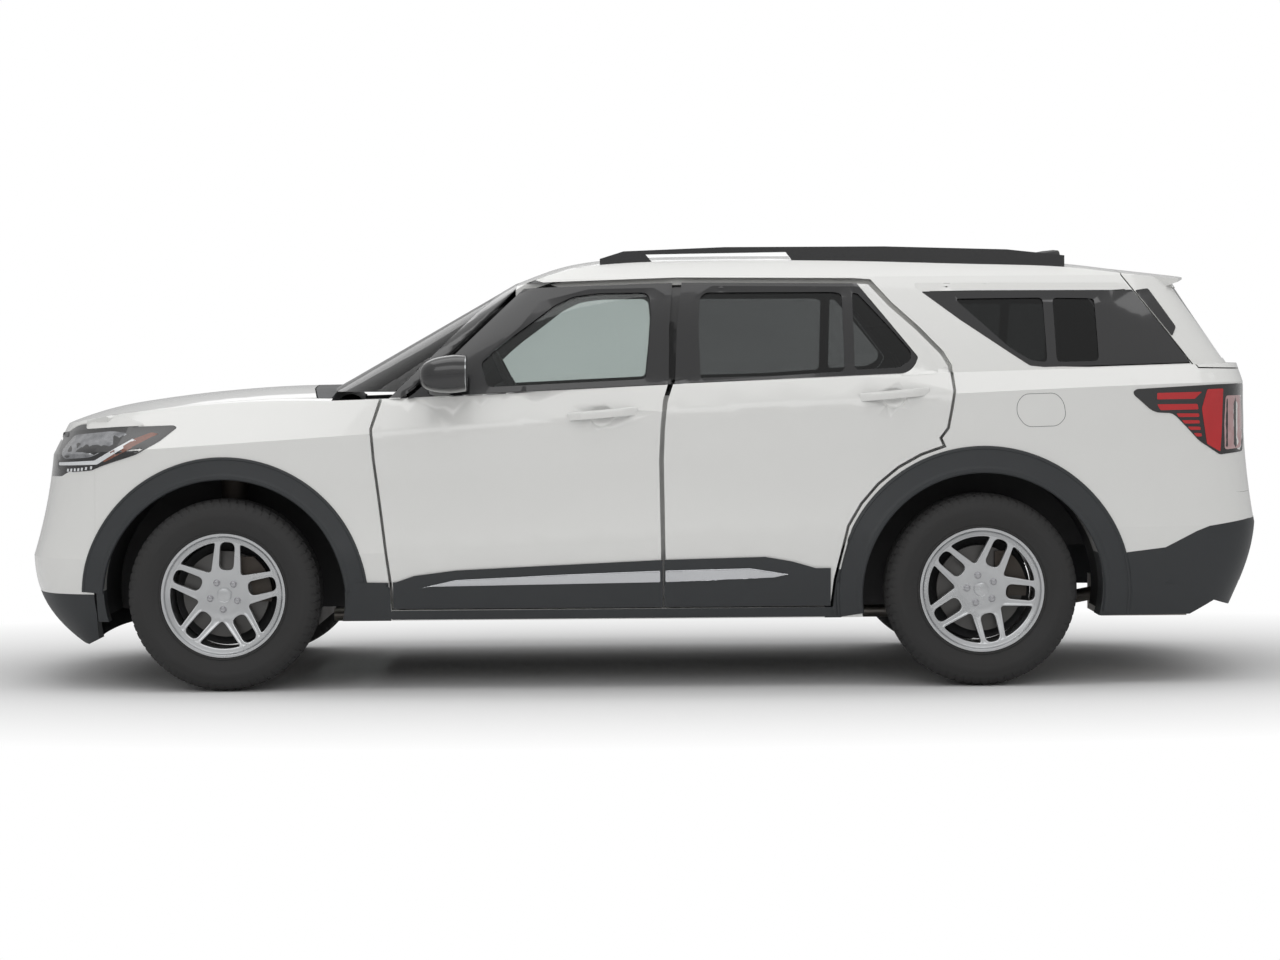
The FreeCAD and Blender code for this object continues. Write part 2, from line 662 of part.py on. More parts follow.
def rim():
    b = rim_bead_radius - seam
    lip = rim_lip_radius
    barrel = [(b, face_y - 14), (lip, face_y - 9), (lip, face_y), (lip - 10, face_y), (b - 10, face_y - 16),
              (b - 14, -face_y + 14), (lip - 8, -face_y), (lip, -face_y), (lip, -face_y + 6), (b, -face_y + 14),
              (b, -face_y + 40), (b - 4, -20), (b - 4, 30), (b, face_y - 36)]
    parts = [spun_y(barrel, 0, 0)]
    hub = spun_y([(hub_bore, 30), (hub_radius, 30), (hub_radius, 66), (hub_radius - 12, 74), (hub_bore, 74)], 0, 0)
    parts.append(hub)
    for k in range(spoke_pairs):
        for s in (-1, 1):
            y0, y1 = 74 - spoke_depth, face_y - 8
            mid = s * spoke_pitch / 2
            bar = Part.Face(Part.makePolygon([Vec(40, y0, 0), Vec(b - 8, y1 - spoke_depth, 0), Vec(b - 8, y1, 0),
                                              Vec(40, 74, 0), Vec(40, y0, 0)])).extrude(Vec(0, 0, spoke_width))
            bar.translate(Vec(0, 0, mid - spoke_width / 2))
            bar.rotate(Vec(0, 0, 0), Vec(0, 1, 0), 90 + 360.0 / spoke_pairs * k)
            parts.append(bar)
    cap = Part.makeCylinder(hub_bore + 1, 10, Vec(0, 64, 0), Vec(0, 1, 0))
    return joined(parts + [cap])


def disc():
    plate = spun_y([(90, disc_y - disc_thick / 2), (disc_radius, disc_y - disc_thick / 2),
                    (disc_radius, disc_y + disc_thick / 2), (90, disc_y + disc_thick / 2)], 0, 0)
    hat = spun_y([(hub_bore, 30 - seam), (hub_radius, 30 - seam), (hub_radius, disc_y - 4), (90, disc_y - 4),
                  (90, disc_y + 4), (82, disc_y + 4), (82, 22), (hub_bore, 22)], 0, 0)
    hat = spun_y([(hub_bore, 18), (78, 18), (78, disc_y - 4), (91, disc_y - 4), (91, disc_y + 6), (88, disc_y + 6),
                  (88, 30 - seam), (hub_bore, 30 - seam)], 0, 0)
    return plate.fuse(hat).removeSplitter()


tyre_shape = spun_y(tyre_profile, 0, 0)
rim_shape = rim()
disc_shape = disc()
wheel_places = {"front_left": (front_axle_x, 1), "front_right": (front_axle_x, -1),
                "rear_left": (rear_axle_x, 1), "rear_right": (rear_axle_x, -1)}
wheel_y = track / 2
for name, (x, side) in wheel_places.items():
    placed = []
    for shape in (tyre_shape, rim_shape, disc_shape):
        s = shape if side > 0 else mirrored(shape)
        placed.append(s.translated(Vec(x, side * wheel_y, tyre_radius)))
    save("tyre_" + name, placed[0])
    save("wheel_" + name, [placed[1], placed[2]])

# Knuckles with their spindles and brake calipers


def caliper():
    ring = spun_y([(110, disc_y - 34), (186, disc_y - 34), (186, disc_y + 34), (110, disc_y + 34)], 0, 0)
    slot = spun_y([(100, disc_y - 20), (178, disc_y - 20), (178, disc_y + 20), (100, disc_y + 20)], 0, 0)
    return ring.cut(slot).common(box(-200, -60, -100, 100, -30, 150))


def knuckle():
    # Spindle along Y at the origin of the wheel, upright inboard of the disc
    spindle = Part.makeCylinder(hub_bore - run_gap, 120, Vec(0, -60, 0), Vec(0, 1, 0))
    flange = Part.makeCylinder(60, 26, Vec(0, -62, 0), Vec(0, 1, 0))
    upright = box(-36, 36, -100, -52, -150, 150)
    bridge = box(-190, 0, -62, disc_y - 30, 20, 90)
    return joined([spindle, flange, upright, bridge, caliper()])


knuckle_shape = knuckle().translated(Vec(front_axle_x, wheel_y, tyre_radius))
save("knuckle_left", knuckle_shape)
save("knuckle_right", mirrored(knuckle_shape))

# Suspension and subframes

engine_bottom = 340.0
damper_y = 600.0
house_inner_y = 480.0


def front_suspension():
    kingpin_y = wheel_y - 76
    low_z = tyre_radius - 150 - run_gap
    high_z = tyre_radius + 150 + run_gap
    rack_x = front_axle_x - 280
    subframe = box(front_axle_x - 320, front_axle_x + 180, -380, 380, 215, 275)
    rack = rod((rack_x, -440, 330), (rack_x, 440, 330), 22)
    rack_seat = box(rack_x - 20, rack_x + 20, -300, 300, 270, 320)
    feet = [box(front_axle_x - 160, front_axle_x - 100, -200, 200, 270, engine_bottom - seam),
            box(front_axle_x + 100, front_axle_x + 160, -200, 200, 270, engine_bottom - seam)]
    arm_end = (front_axle_x, kingpin_y, low_z - 28)
    low = [rod((front_axle_x - 160, 350, 245), arm_end, 18),
           rod((front_axle_x + 120, 350, 245), arm_end, 18),
           Part.makeCylinder(24, 40, Vec(front_axle_x, kingpin_y, low_z - 40)),
           box(front_axle_x - 70, front_axle_x + 60, 596, 640, 205, 250)]
    damper = [rod((front_axle_x - 6, damper_y, 240), (front_axle_x - 6, damper_y, 900), 26),
              Part.makeCylinder(54, 230, Vec(front_axle_x - 6, damper_y, 610))]
    damper = [d.common(tube_y(arch_radius - seam, front_axle_x, tyre_radius, 400, 900)) for d in damper]
    high = joined([Part.makeCylinder(24, 24, Vec(front_axle_x, kingpin_y, high_z)),
                   rod((front_axle_x, kingpin_y, high_z + 14), (front_axle_x, house_inner_y + seam, 575), 13)])
    halves = []
    for shape in low + damper:
        halves += both(shape)
    return [joined([subframe, rack, rack_seat] + feet + halves)] + both(high.cut(box(0, 3000, 0, house_inner_y + seam, 0, 900)))


save("front_suspension", front_suspension())


def rear_suspension():
    carrier = box(rear_axle_x - 140, rear_axle_x + 140, -330, 330, 270, 350)
    pieces = [carrier, box(rear_axle_x - 60, rear_axle_x + 60, -90, 90, 240, 400)]
    posts = [box(rear_axle_x + dx, rear_axle_x + dx + 40, 270, 330, 340, rear_floor_z - seam) for dx in (-130, 90)]
    half = [rod((rear_axle_x, 80, tyre_radius - 60), (rear_axle_x, wheel_y - 80, tyre_radius), 16)] + posts
    half += [rod((rear_axle_x + dx, 300, 300), (rear_axle_x + dx * 0.2, wheel_y - 76, 280), 18) for dx in (-110, 110)]
    half.append(rod((rear_axle_x - 20, 540, 280), (rear_axle_x - 20, 540, rear_floor_z - seam), 26))
    half.append(knuckle().translated(Vec(rear_axle_x, wheel_y, tyre_radius)))
    for shape in half:
        pieces += both(shape)
    return joined(pieces)


rear_floor_z = 540.0
save("rear_suspension", rear_suspension())

# Underbody

floor_z = 300.0
floor_thick = 30.0
kick_x = -1010.0
tail_panel_x = -2340.0


def underbody():
    inner = body_half(ring_depth + seam)
    engine_side = body_half(skin_thick + seam)
    front_arch = tube_y(arch_radius, front_axle_x, tyre_radius, house_inner_y, 1000)
    rear_arch = tube_y(arch_radius, rear_axle_x, tyre_radius, 600, 1000)
    floor = box(kick_x, 1110, 0, 1300, floor_z, floor_z + floor_thick)
    kick = box(kick_x - floor_thick, kick_x, 0, 1300, floor_z, rear_floor_z + floor_thick)
    rear_floor = box(tail_panel_x, kick_x, 0, 1300, rear_floor_z, rear_floor_z + floor_thick)
    firewall = box(1085, 1110, 0, 1300, floor_z, 1110)
    tail_panel = box(tail_panel_x - 30, tail_panel_x, 0, 1300, 400, 740)
    pan = inner.common(joined([floor, kick, rear_floor, firewall, tail_panel]))
    rails = box(1100, 2260, 410, 470, 400, 500).cut(front_arch)
    support = box(2230, 2260, 0, 620, 380, 960)
    house_f = tube_y(arch_radius + 15, front_axle_x, tyre_radius, 465, 900)
    house_f = house_f.cut(front_arch).common(engine_side).common(box(1112, bumper_line_x - seam, 400, 1000, 300, 1000))
    house_r = tube_y(arch_radius + 15, rear_axle_x, tyre_radius, 588, 900)
    house_r = house_r.cut(rear_arch).common(inner).common(box(-2000, -700, 400, 1000, 300, 1000))
    house_r = house_r.cut(box(-2000, kick_x - floor_thick, 500, 600, 200, rear_floor_z))
    front_arm = box(2250, 2600, 300, 400, 480, 540).common(body_half(bumper_thick + seam))
    rear_arm = box(-2600, tail_panel_x - 20, 300, 400, 480, 560).common(body_half(bumper_thick + seam))
    half = joined([pan.cut(rear_arch), rails, support, front_arm, rear_arm, house_r, house_f])
    return whole(half)


save("underbody", underbody())

# Engine, exhaust, inside

save("engine", box(1440, 1980, -330, 330, engine_bottom, 900))
pipe_z = 240.0
exhaust = joined([rod((1300, 150, pipe_z), (-1560, 150, pipe_z), 28), rod((-1560, 150, pipe_z), (-1900, 400, 330), 28),
                  Part.makeSphere(28, Vec(-1560, 150, pipe_z)), box(-2230, -1880, 250, 640, 250, 400),
                  box(800, 830, 140, 160, pipe_z, floor_z - seam), box(-600, -570, 140, 160, pipe_z, floor_z - seam),
                  box(-2100, -2070, 400, 440, 390, rear_floor_z - seam)])
save("exhaust", exhaust)
dash_half = body_half(ring_depth + seam).common(box(720, 1080, 0, 1300, 760, 1120))


def seat(x, y, width, z_floor, z_top):
    base = box(x - 250, x + 270, y - width / 2, y + width / 2, z_floor + 180, z_floor + 330)
    foot = box(x - 180, x + 200, y - width / 2 + 60, y + width / 2 - 60, z_floor + seam, z_floor + 180)
    back = side_prism([(x - 250, z_floor + 200), (x - 130, z_floor + 200), (x - 300, z_top), (x - 400, z_top)],
                      y - width / 2, y + width / 2)
    return joined([base, foot, back])


floor_top = floor_z + floor_thick
save("front_seats", both(seat(250, 400, 520, floor_top, 1260)))
save("middle_seats", seat(-600, 0, 1300, floor_top, 1270))
save("rear_seats", seat(-1560, 0, 1050, rear_floor_z + floor_thick, 1240))
wheel_mid = (520, 400, 1180)
grip = [(176 + 14 * math.cos(math.radians(a)), 14 * math.sin(math.radians(a))) for a in range(0, 360, 60)]
steer_ring = spun_y(grip, 0, 0)
steer_ring.Placement = FreeCAD.Placement(Vec(*wheel_mid), FreeCAD.Rotation(Vec(0, 1, 0), Vec(-0.9, 0, 0.43)))
column = Vec(-0.9, 0, 0.43).normalize()
steer_hub = Part.makeCylinder(60, 80, Vec(*wheel_mid) - column * 60, column)
steer_column = Part.makeCylinder(38, 300, Vec(*wheel_mid) - column * (60 + run_gap + 300), column)
save("dashboard", whole(dash_half).fuse(steer_column).removeSplitter())
steer_bar = box(wheel_mid[0] - 10, wheel_mid[0] + 10, wheel_mid[1] - 176, wheel_mid[1] + 176, wheel_mid[2] - 12, wheel_mid[2] + 12)
save("steering_wheel", joined([steer_ring, steer_hub, steer_bar]))

# Mirrors


def mirror():
    shell = Part.makeSphere(1.0)
    m = FreeCAD.Matrix()
    m.scale(Vec(95, 120, 88))
    shell = shell.transformGeometry(m)
    shell.translate(Vec(776, 1134 - 120, 1255))
    foot = side_prism([(860, 1172), (860, 1200), (690, 1215), (690, 1172)], 905, 1010)
    return shell.fuse(foot)


mirror_shape = mirror().cut(body_half(-seam)).cut(cabin_half(-seam))
save("mirror_left", mirror_shape)
save("mirror_right", mirrored(mirror_shape))
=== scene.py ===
import math

import bmesh
import bpy
import mathutils.geometry
from mathutils import Matrix, Vector
from mathutils.bvhtree import BVHTree


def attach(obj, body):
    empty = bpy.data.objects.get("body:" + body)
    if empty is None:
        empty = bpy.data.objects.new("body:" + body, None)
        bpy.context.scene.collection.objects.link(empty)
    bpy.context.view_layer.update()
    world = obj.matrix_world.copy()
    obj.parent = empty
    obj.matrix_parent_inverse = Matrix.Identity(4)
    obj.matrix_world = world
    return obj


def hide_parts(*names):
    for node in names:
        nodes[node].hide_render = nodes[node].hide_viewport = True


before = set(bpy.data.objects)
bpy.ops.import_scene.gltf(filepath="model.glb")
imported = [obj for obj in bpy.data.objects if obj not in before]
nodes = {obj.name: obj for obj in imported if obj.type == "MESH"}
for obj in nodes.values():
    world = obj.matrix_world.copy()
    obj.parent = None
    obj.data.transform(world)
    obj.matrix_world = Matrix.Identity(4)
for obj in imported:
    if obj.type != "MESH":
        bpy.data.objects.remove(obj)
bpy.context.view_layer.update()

scene = bpy.context.scene


# Helpers for objects, meshes and materials

def placed(name, data):
    # A new object in the scene
    thing = bpy.data.objects.new(name, data)
    scene.collection.objects.link(thing)
    return thing


def meshFrom(name, bm):
    mesh = bpy.data.meshes.new(name)
    bm.to_mesh(mesh)
    bm.free()
    return mesh


def makeMaterial(name, clear=True):
    material = bpy.data.materials.new(name)
    material.use_nodes = True
    if clear:
        material.node_tree.nodes.clear()
    return material, material.node_tree


def addNode(tree, kind, inputs=(), **settings):
    # A shader node; inputs gives each socket a value or another node's output
    node = tree.nodes.new("ShaderNode" + kind)
    for name, value in settings.items():
        setattr(node, name, value)
    for socket, value in dict(inputs).items():
        if isinstance(value, bpy.types.NodeSocket):
            tree.links.new(value, node.inputs[socket])
        else:
            node.inputs[socket].default_value = value
    return node


# Camera, floor and lamps

view = {
    "distance": 13.485,     # from the car's middle, straight out to its left
    "height": 1.329,
    "lens": 88.57,
    "pitch": 2.27,          # degrees down
    "roll": 0.45,           # degrees, the right of the picture a little higher
}


def makeCamera():
    data = bpy.data.cameras.new("sideCamera")
    data.lens = view["lens"]
    data.sensor_width = 36
    camera = placed("sideCamera", data)
    turn = Matrix.Rotation(math.pi, 4, "Z")
    tip = Matrix.Rotation(math.radians(90 - view["pitch"]), 4, "X")
    roll = Matrix.Rotation(math.radians(-view["roll"]), 4, "Z")
    camera.matrix_world = Matrix.Translation((0, view["distance"], view["height"])) @ turn @ tip @ roll
    scene.camera = camera


studio = {
    "floorColour": (0.80, 0.80, 0.80, 1),
    "floorRadius": 40.0,
    "shadowInner": 1.25,    # the floor turns white from here outwards, metres beside the car
    "shadowOuter": 2.9,
    "room": ((0.42, 0.42), (0.85, 0.62)),   # height, from 0 to 1, and brightness
    "lamps": {              # place, aim, size and watts
        "topLamp": ((0, 0.5, 6.5), (0, 0, 0), (9, 5), 150),
        "sideLamp": ((1.5, 9, 4.2), (0, 0, 0.7), (10, 3), 110),
        "farLamp": ((-1, -8, 4.5), (0, 0, 0.8), (10, 3), 60),
    },
}


def makeWorld():
    world = bpy.data.worlds.new("studioRoom")
    scene.world = world
    world.use_nodes = True
    tree = world.node_tree
    tree.nodes.clear()
    place = addNode(tree, "TexCoord")
    split = addNode(tree, "SeparateXYZ", {0: place.outputs["Generated"]})
    half = addNode(tree, "Math", {0: split.outputs["Z"], 1: 0.5, 2: 0.5}, operation="MULTIPLY_ADD")
    ramp = addNode(tree, "ValToRGB", {0: half.outputs[0]})
    for element, (height, level) in zip(ramp.color_ramp.elements, studio["room"]):
        element.position = height
        element.color = (level, level, level, 1)
    room = addNode(tree, "Background", {"Color": ramp.outputs[0]})
    white = addNode(tree, "Background", {"Color": (1, 1, 1, 1)})
    rays = addNode(tree, "LightPath")
    mix = addNode(tree, "MixShader", {0: rays.outputs["Is Camera Ray"], 1: room.outputs[0],
                                      2: white.outputs[0]})
    addNode(tree, "OutputWorld", {0: mix.outputs[0]})


def makeFloor():
    bm = bmesh.new()
    bmesh.ops.create_circle(bm, cap_ends=True, segments=96, radius=studio["floorRadius"])
    mesh = meshFrom("studioFloor", bm)
    floor = placed("studioFloor", mesh)
    floor.location.z = -0.001       # just under the tyres
    material, tree = makeMaterial("paleFloor")
    place = addNode(tree, "TexCoord")
    near = addNode(tree, "VectorMath", {0: place.outputs["Object"], 1: (0.5, 1, 1)}, operation="MULTIPLY")
    far = addNode(tree, "VectorMath", {0: near.outputs[0]}, operation="LENGTH")
    fade = addNode(tree, "MapRange", {"Value": far.outputs["Value"], "From Min": studio["shadowInner"],
                                      "From Max": studio["shadowOuter"]})
    rays = addNode(tree, "LightPath")
    seen = addNode(tree, "Math", {0: fade.outputs[0], 1: rays.outputs["Is Camera Ray"]}, operation="MULTIPLY")
    matt = addNode(tree, "BsdfDiffuse", {"Color": studio["floorColour"]})
    white = addNode(tree, "Emission")
    mix = addNode(tree, "MixShader", {0: seen.outputs[0], 1: matt.outputs[0], 2: white.outputs[0]})
    addNode(tree, "OutputMaterial", {0: mix.outputs[0]})
    mesh.materials.append(material)


def makeLamp(name, place, aim, size, watts):
    data = bpy.data.lights.new(name, "AREA")
    data.shape = "RECTANGLE"
    data.size = size[0]
    data.size_y = size[1]
    data.energy = watts
    lamp = placed(name, data)
    lamp.location = place
    lamp.rotation_euler = (Vector(aim) - Vector(place)).to_track_quat("-Z", "Y").to_euler()


def makeStudio():
    makeWorld()
    makeFloor()
    for name, settings in studio["lamps"].items():
        makeLamp(name, *settings)
    scene.view_settings.view_transform = "Standard"


makeCamera()
makeStudio()
print("studio: camera, floor and three lamps")


# Finishes

lining = {
    "trim": (0.045, 0.045, 0.048, 1),
    "roof": (0.40, 0.39, 0.37, 1),
    "roofFrom": 1.45,       # height from which inner faces are headliner
    "inward": -0.3,         # how far a face looks inwards, or down, to be an inner face
    "down": -0.6,
}


def blend(tree, factor, a, b):
    # A mix of two colours
    return addNode(tree, "Mix", {"Factor": factor, "A": a, "B": b}, data_type="RGBA").outputs["Result"]


def lineInside(tree, place, paint):
    # Painted panels turn to trim where they face the cabin, and to headliner high up
    def step(kind, a, b):
        return addNode(tree, "Math", {0: a, 1: b}, operation=kind).outputs[0]

    spot = addNode(tree, "SeparateXYZ", {0: place.outputs["Object"]})
    facing = addNode(tree, "SeparateXYZ", {0: place.outputs["Normal"]})
    sideways = step("MULTIPLY", facing.outputs["Y"], step("SIGN", spot.outputs["Y"], 0))
    inward = step("LESS_THAN", sideways, lining["inward"])
    under = step("LESS_THAN", facing.outputs["Z"], lining["down"])
    high = step("GREATER_THAN", spot.outputs["Z"], lining["roofFrom"])
    cover = blend(tree, high, lining["trim"], lining["roof"])
    return blend(tree, step("MAXIMUM", inward, under), paint, cover)


def makeFinish(name, look):
    # A mottled colour and roughness, with fine grain where the look asks for it
    material, tree = makeMaterial(name, clear=False)
    place = addNode(tree, "TexCoord")
    mottle = addNode(tree, "TexNoise", {"Vector": place.outputs["Object"], "Detail": 4,
                                        "Scale": look.get("mottleScale", 6)})
    base, rough = look["colour"], look["rough"]
    second = look.get("second", tuple(c * 0.93 for c in base))
    colour = blend(tree, mottle.outputs["Fac"], tuple(base) + (1,), tuple(second) + (1,))
    if look.get("lined"):
        colour = lineInside(tree, place, colour)
    spread = addNode(tree, "MapRange", {"Value": mottle.outputs["Fac"], "To Min": rough * 0.85,
                                        "To Max": min(1, rough * 1.15)})
    shader = tree.nodes["Principled BSDF"]
    tree.links.new(colour, shader.inputs["Base Color"])
    tree.links.new(spread.outputs[0], shader.inputs["Roughness"])
    if look.get("grain"):
        grain = addNode(tree, "TexNoise", {"Vector": place.outputs["Object"], "Scale": look["grainScale"],
                                           "Detail": 2})
        bump = addNode(tree, "Bump", {"Strength": look["grain"], "Distance": look.get("grainDepth", 0.0004),
                                      "Height": grain.outputs["Fac"]})
        tree.links.new(bump.outputs[0], shader.inputs["Normal"])
    shader.inputs["Metallic"].default_value = look.get("metal", 0)
    shader.inputs["Coat Weight"].default_value = look.get("coat", 0)
    shader.inputs["Coat Roughness"].default_value = 0.03
    return material


def makeGlass(name, colour):
    # Thin tinted glass: see-through, with a mirror that grows towards the edges of view
    material, tree = makeMaterial(name)
    place = addNode(tree, "TexCoord")
    haze = addNode(tree, "TexNoise", {"Vector": place.outputs["Object"], "Scale": 1.3})
    tint = blend(tree, haze.outputs["Fac"], tuple(colour) + (1,), tuple(c * 0.92 for c in colour) + (1,))
    through = addNode(tree, "BsdfTransparent", {"Color": tint})
    gloss = addNode(tree, "BsdfGlossy", {"Roughness": 0.015})
    edge = addNode(tree, "Fresnel", {"IOR": 1.5})
    mix = addNode(tree, "MixShader", {0: edge.outputs[0], 1: through.outputs[0], 2: gloss.outputs[0]})
    addNode(tree, "OutputMaterial", {0: mix.outputs[0]})
    return material


finishes = {
    "whitePaint": {"lined": True, "colour": (0.83, 0.83, 0.81), "second": (0.81, 0.81, 0.79), "rough": 0.3,
                   "coat": 1, "grain": 0.15, "grainScale": 300, "grainDepth": 0.0001},
    "roughPlastic": {"colour": (0.032, 0.035, 0.038), "rough": 0.5, "grain": 0.5, "grainScale": 900},
    "glossBlack": {"colour": (0.012, 0.012, 0.013), "rough": 0.18, "coat": 1},
    "underPlastic": {"colour": (0.018, 0.018, 0.019), "rough": 0.65, "grain": 0.5, "grainScale": 400},
    "castIron": {"colour": (0.06, 0.058, 0.055), "second": (0.09, 0.07, 0.055), "rough": 0.6, "metal": 0.6,
                 "grain": 0.6, "grainScale": 260},
    "castAlloy": {"colour": (0.45, 0.45, 0.46), "rough": 0.45, "metal": 1, "grain": 0.4, "grainScale": 300},
    "exhaustSteel": {"colour": (0.42, 0.40, 0.38), "second": (0.30, 0.27, 0.24), "rough": 0.4, "metal": 1},
    "wheelPaint": {"colour": (0.58, 0.59, 0.60), "rough": 0.28, "metal": 0.85, "coat": 0.6},
    "tyreRubber": {"colour": (0.022, 0.022, 0.023), "second": (0.032, 0.031, 0.030), "rough": 0.72,
                   "grain": 0.4, "grainScale": 500},
    "trimPlastic": {"colour": (0.05, 0.05, 0.052), "rough": 0.55, "grain": 0.5, "grainScale": 700},
    "seatCloth": {"colour": (0.045, 0.045, 0.048), "second": (0.07, 0.07, 0.072), "rough": 0.85,
                  "grain": 0.7, "grainScale": 1200},
    "lampBlack": {"colour": (0.01, 0.01, 0.011), "rough": 0.25, "coat": 1},
    "lampRed": {"colour": (0.62, 0.006, 0.01), "second": (0.45, 0.004, 0.008), "rough": 0.12, "coat": 1},
    "lampClear": {"colour": (0.62, 0.45, 0.45), "second": (0.40, 0.20, 0.20), "rough": 0.2, "coat": 1,
                  "mottleScale": 30},
    # The bowls' chrome is mottled from bright to near black: painted reflections over its real metal gloss
    "lampChromePaintedReflections": {"colour": (0.65, 0.66, 0.68), "second": (0.06, 0.06, 0.07), "rough": 0.2, "metal": 1,
                   "coat": 1, "mottleScale": 22},
    "lampWhite": {"colour": (0.80, 0.82, 0.84), "rough": 0.2, "coat": 1},
    "lampAmber": {"colour": (0.26, 0.085, 0.045), "second": (0.14, 0.045, 0.03), "rough": 0.25, "coat": 1,
                  "mottleScale": 60},
    "pillarBlack": {"colour": (0.014, 0.014, 0.015), "rough": 0.22, "coat": 0.6, "grain": 0.1,
                    "grainScale": 600},
    "glassPrint": {"colour": (0.008, 0.008, 0.009), "rough": 0.08, "coat": 1},
    "mirrorBlack": {"colour": (0.02, 0.02, 0.021), "rough": 0.25, "coat": 0.8},
    "satinChrome": {"colour": (0.66, 0.67, 0.69), "rough": 0.22, "metal": 1},
    "nutSteel": {"colour": (0.50, 0.50, 0.52), "rough": 0.25, "metal": 1},
    "shadowLine": {"colour": (0.18, 0.18, 0.18), "rough": 0.7},
    "discIron": {"colour": (0.13, 0.13, 0.13), "second": (0.09, 0.085, 0.08), "rough": 0.4, "metal": 1},
    "mirrorGlass": {"colour": (0.75, 0.77, 0.78), "rough": 0.03, "metal": 1},
}

glasses = {
    "clearGlass": (0.80, 0.83, 0.82),
    "paleGlass": (0.52, 0.53, 0.53),
    "smokedGlass": (0.30, 0.31, 0.31),
}

made = {name: makeFinish(name, look) for name, look in finishes.items()}
for name, colour in glasses.items():
    made[name] = makeGlass(name, colour)


doors = ["door_%s_%s" % (end, side) for end in ("front", "rear") for side in ("left", "right")]
dressing = {
    "whitePaint": ["body_side_left", "body_side_right", "roof_panel", "front_fenders", "front_bumper_cover",
                   "hood_panel", "tailgate_panel", "rear_bumper_cover"] + [door + "_panel" for door in doors],
    "roughPlastic": ["front_lower_fascia", "body_cladding", "rear_lower_fascia",
                     "cowl_panel"] + [door + "_cladding" for door in doors],
    "glossBlack": ["grille", "roof_rails", "mirror_left", "mirror_right"],
    "underPlastic": ["underbody"],
    "castIron": ["front_suspension", "rear_suspension", "knuckle_left", "knuckle_right"],
    "castAlloy": ["engine"],
    "exhaustSteel": ["exhaust"],
    "trimPlastic": ["dashboard", "steering_wheel"],
    "seatCloth": ["front_seats", "middle_seats", "rear_seats"],
    "lampBlack": ["headlamps", "tail_lamps"],
    "clearGlass": ["windscreen", "door_front_left_glass", "door_front_right_glass"],
    "paleGlass": ["door_rear_left_glass", "door_rear_right_glass"],
    "smokedGlass": ["quarter_glasses", "tailgate_glass"],
    "tyreRubber": [door.replace("door", "tyre") for door in doors],
    "wheelPaint": [door.replace("door", "wheel") for door in doors],
}
for finish, names in dressing.items():
    for name in names:
        mesh = nodes[name].data
        mesh.materials.clear()
        mesh.materials.append(made[finish])
print("finishes: %d materials on the frame's nodes" % len(made))


# Mesh tools

wayOf = {"left": 1, "right": -1}


def addPiece(name, bm, finish, body, sharp=32):
    # A finished piece on its body, smooth but for edges sharper than so many degrees
    bmesh.ops.recalc_face_normals(bm, faces=bm.faces)
    mesh = meshFrom(name, bm)
    mesh.materials.append(made[finish])
    mesh.shade_smooth()
    mesh.set_sharp_from_angle(angle=math.radians(sharp))
    piece = placed(name, mesh)
    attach(piece, body)
    return piece


def joinRows(rows, loop=False, around=True, ends=False):
    # A mesh between rows of points: loop joins the last row to the first, around closes each row
    bm = bmesh.new()
    rows = [[bm.verts.new(point) for point in row] for row in rows]
    size = len(rows[0])
    for here, after in zip(rows, rows[1:] + rows[:1] if loop else rows[1:]):
        for i in range(size if around else size - 1):
            j = (i + 1) % size
            bm.faces.new((here[i], here[j], after[j], after[i]))
    if ends:
        bm.faces.new(rows[0])
        bm.faces.new(rows[-1][::-1])
    return bm


def turnedAt(r, y, a):
    # A point at radius r and angle a about the Y axis
    return r * math.cos(a), y, r * math.sin(a)


def ringOf(count, wide, tall=None, power=1.0):
    # Points of an oval, or of a rounded box for a power below 1
    points = []
    for k in range(count):
        a = 2 * math.pi * k / count
        c, s = math.cos(a), math.sin(a)
        points.append((math.copysign(abs(c) ** power, c) * wide,
                       math.copysign(abs(s) ** power, s) * (wide if tall is None else tall)))
    return points


def mirrorMesh(bm):
    # The same mesh on the other side of the car
    for vertex in bm.verts:
        vertex.co.y = -vertex.co.y
    bmesh.ops.reverse_faces(bm, faces=bm.faces)
    return bm


def copyInto(bm, other):
    # Adds the mesh other to bm
    mesh = meshFrom("spare", other)
    bm.from_mesh(mesh)
    bpy.data.meshes.remove(mesh)


def nodeMesh(name):
    # A copy of a frame node's mesh with its corners joined
    bm = bmesh.new()
    bm.from_mesh(nodes[name].data)
    bmesh.ops.remove_doubles(bm, verts=bm.verts, dist=0.00002)
    return bm


def treeOf(names):
    # A search tree over some of the frame's nodes
    corners, faces = [], []
    for name in names:
        mesh = nodes[name].data
        first = len(corners)
        corners += [v.co.copy() for v in mesh.vertices]
        faces += [[first + i for i in p.vertices] for p in mesh.polygons]
    return BVHTree.FromPolygons(corners, faces)


def surfaceOf(*names, sunk=()):
    # What a cover lies on; the glass named in sunk is 4 mm deeper than the panels round it
    layers = [(treeOf(names), 0)]
    if sunk:
        layers.append((treeOf(sunk), 0.0041))
    return layers


def castY(surface, x, z, way):
    # How far out the surface is at one place, seen from the side, or nothing where there is none
    found = []
    for tree, extra in surface:
        spot = tree.ray_cast(Vector((x, way * 2, z)), Vector((0, -way, 0)))[0]
        if spot is not None and spot.y * way > 0.5:
            found.append(spot.y * way + extra)
    return max(found) * way if found else None


def sideY(surface, x, z, way):
    # The same, with the nearest place on the surface where there is none
    y = castY(surface, x, z, way)
    return surface[0][0].find_nearest(Vector((x, way * 0.95, z)))[0].y if y is None else y


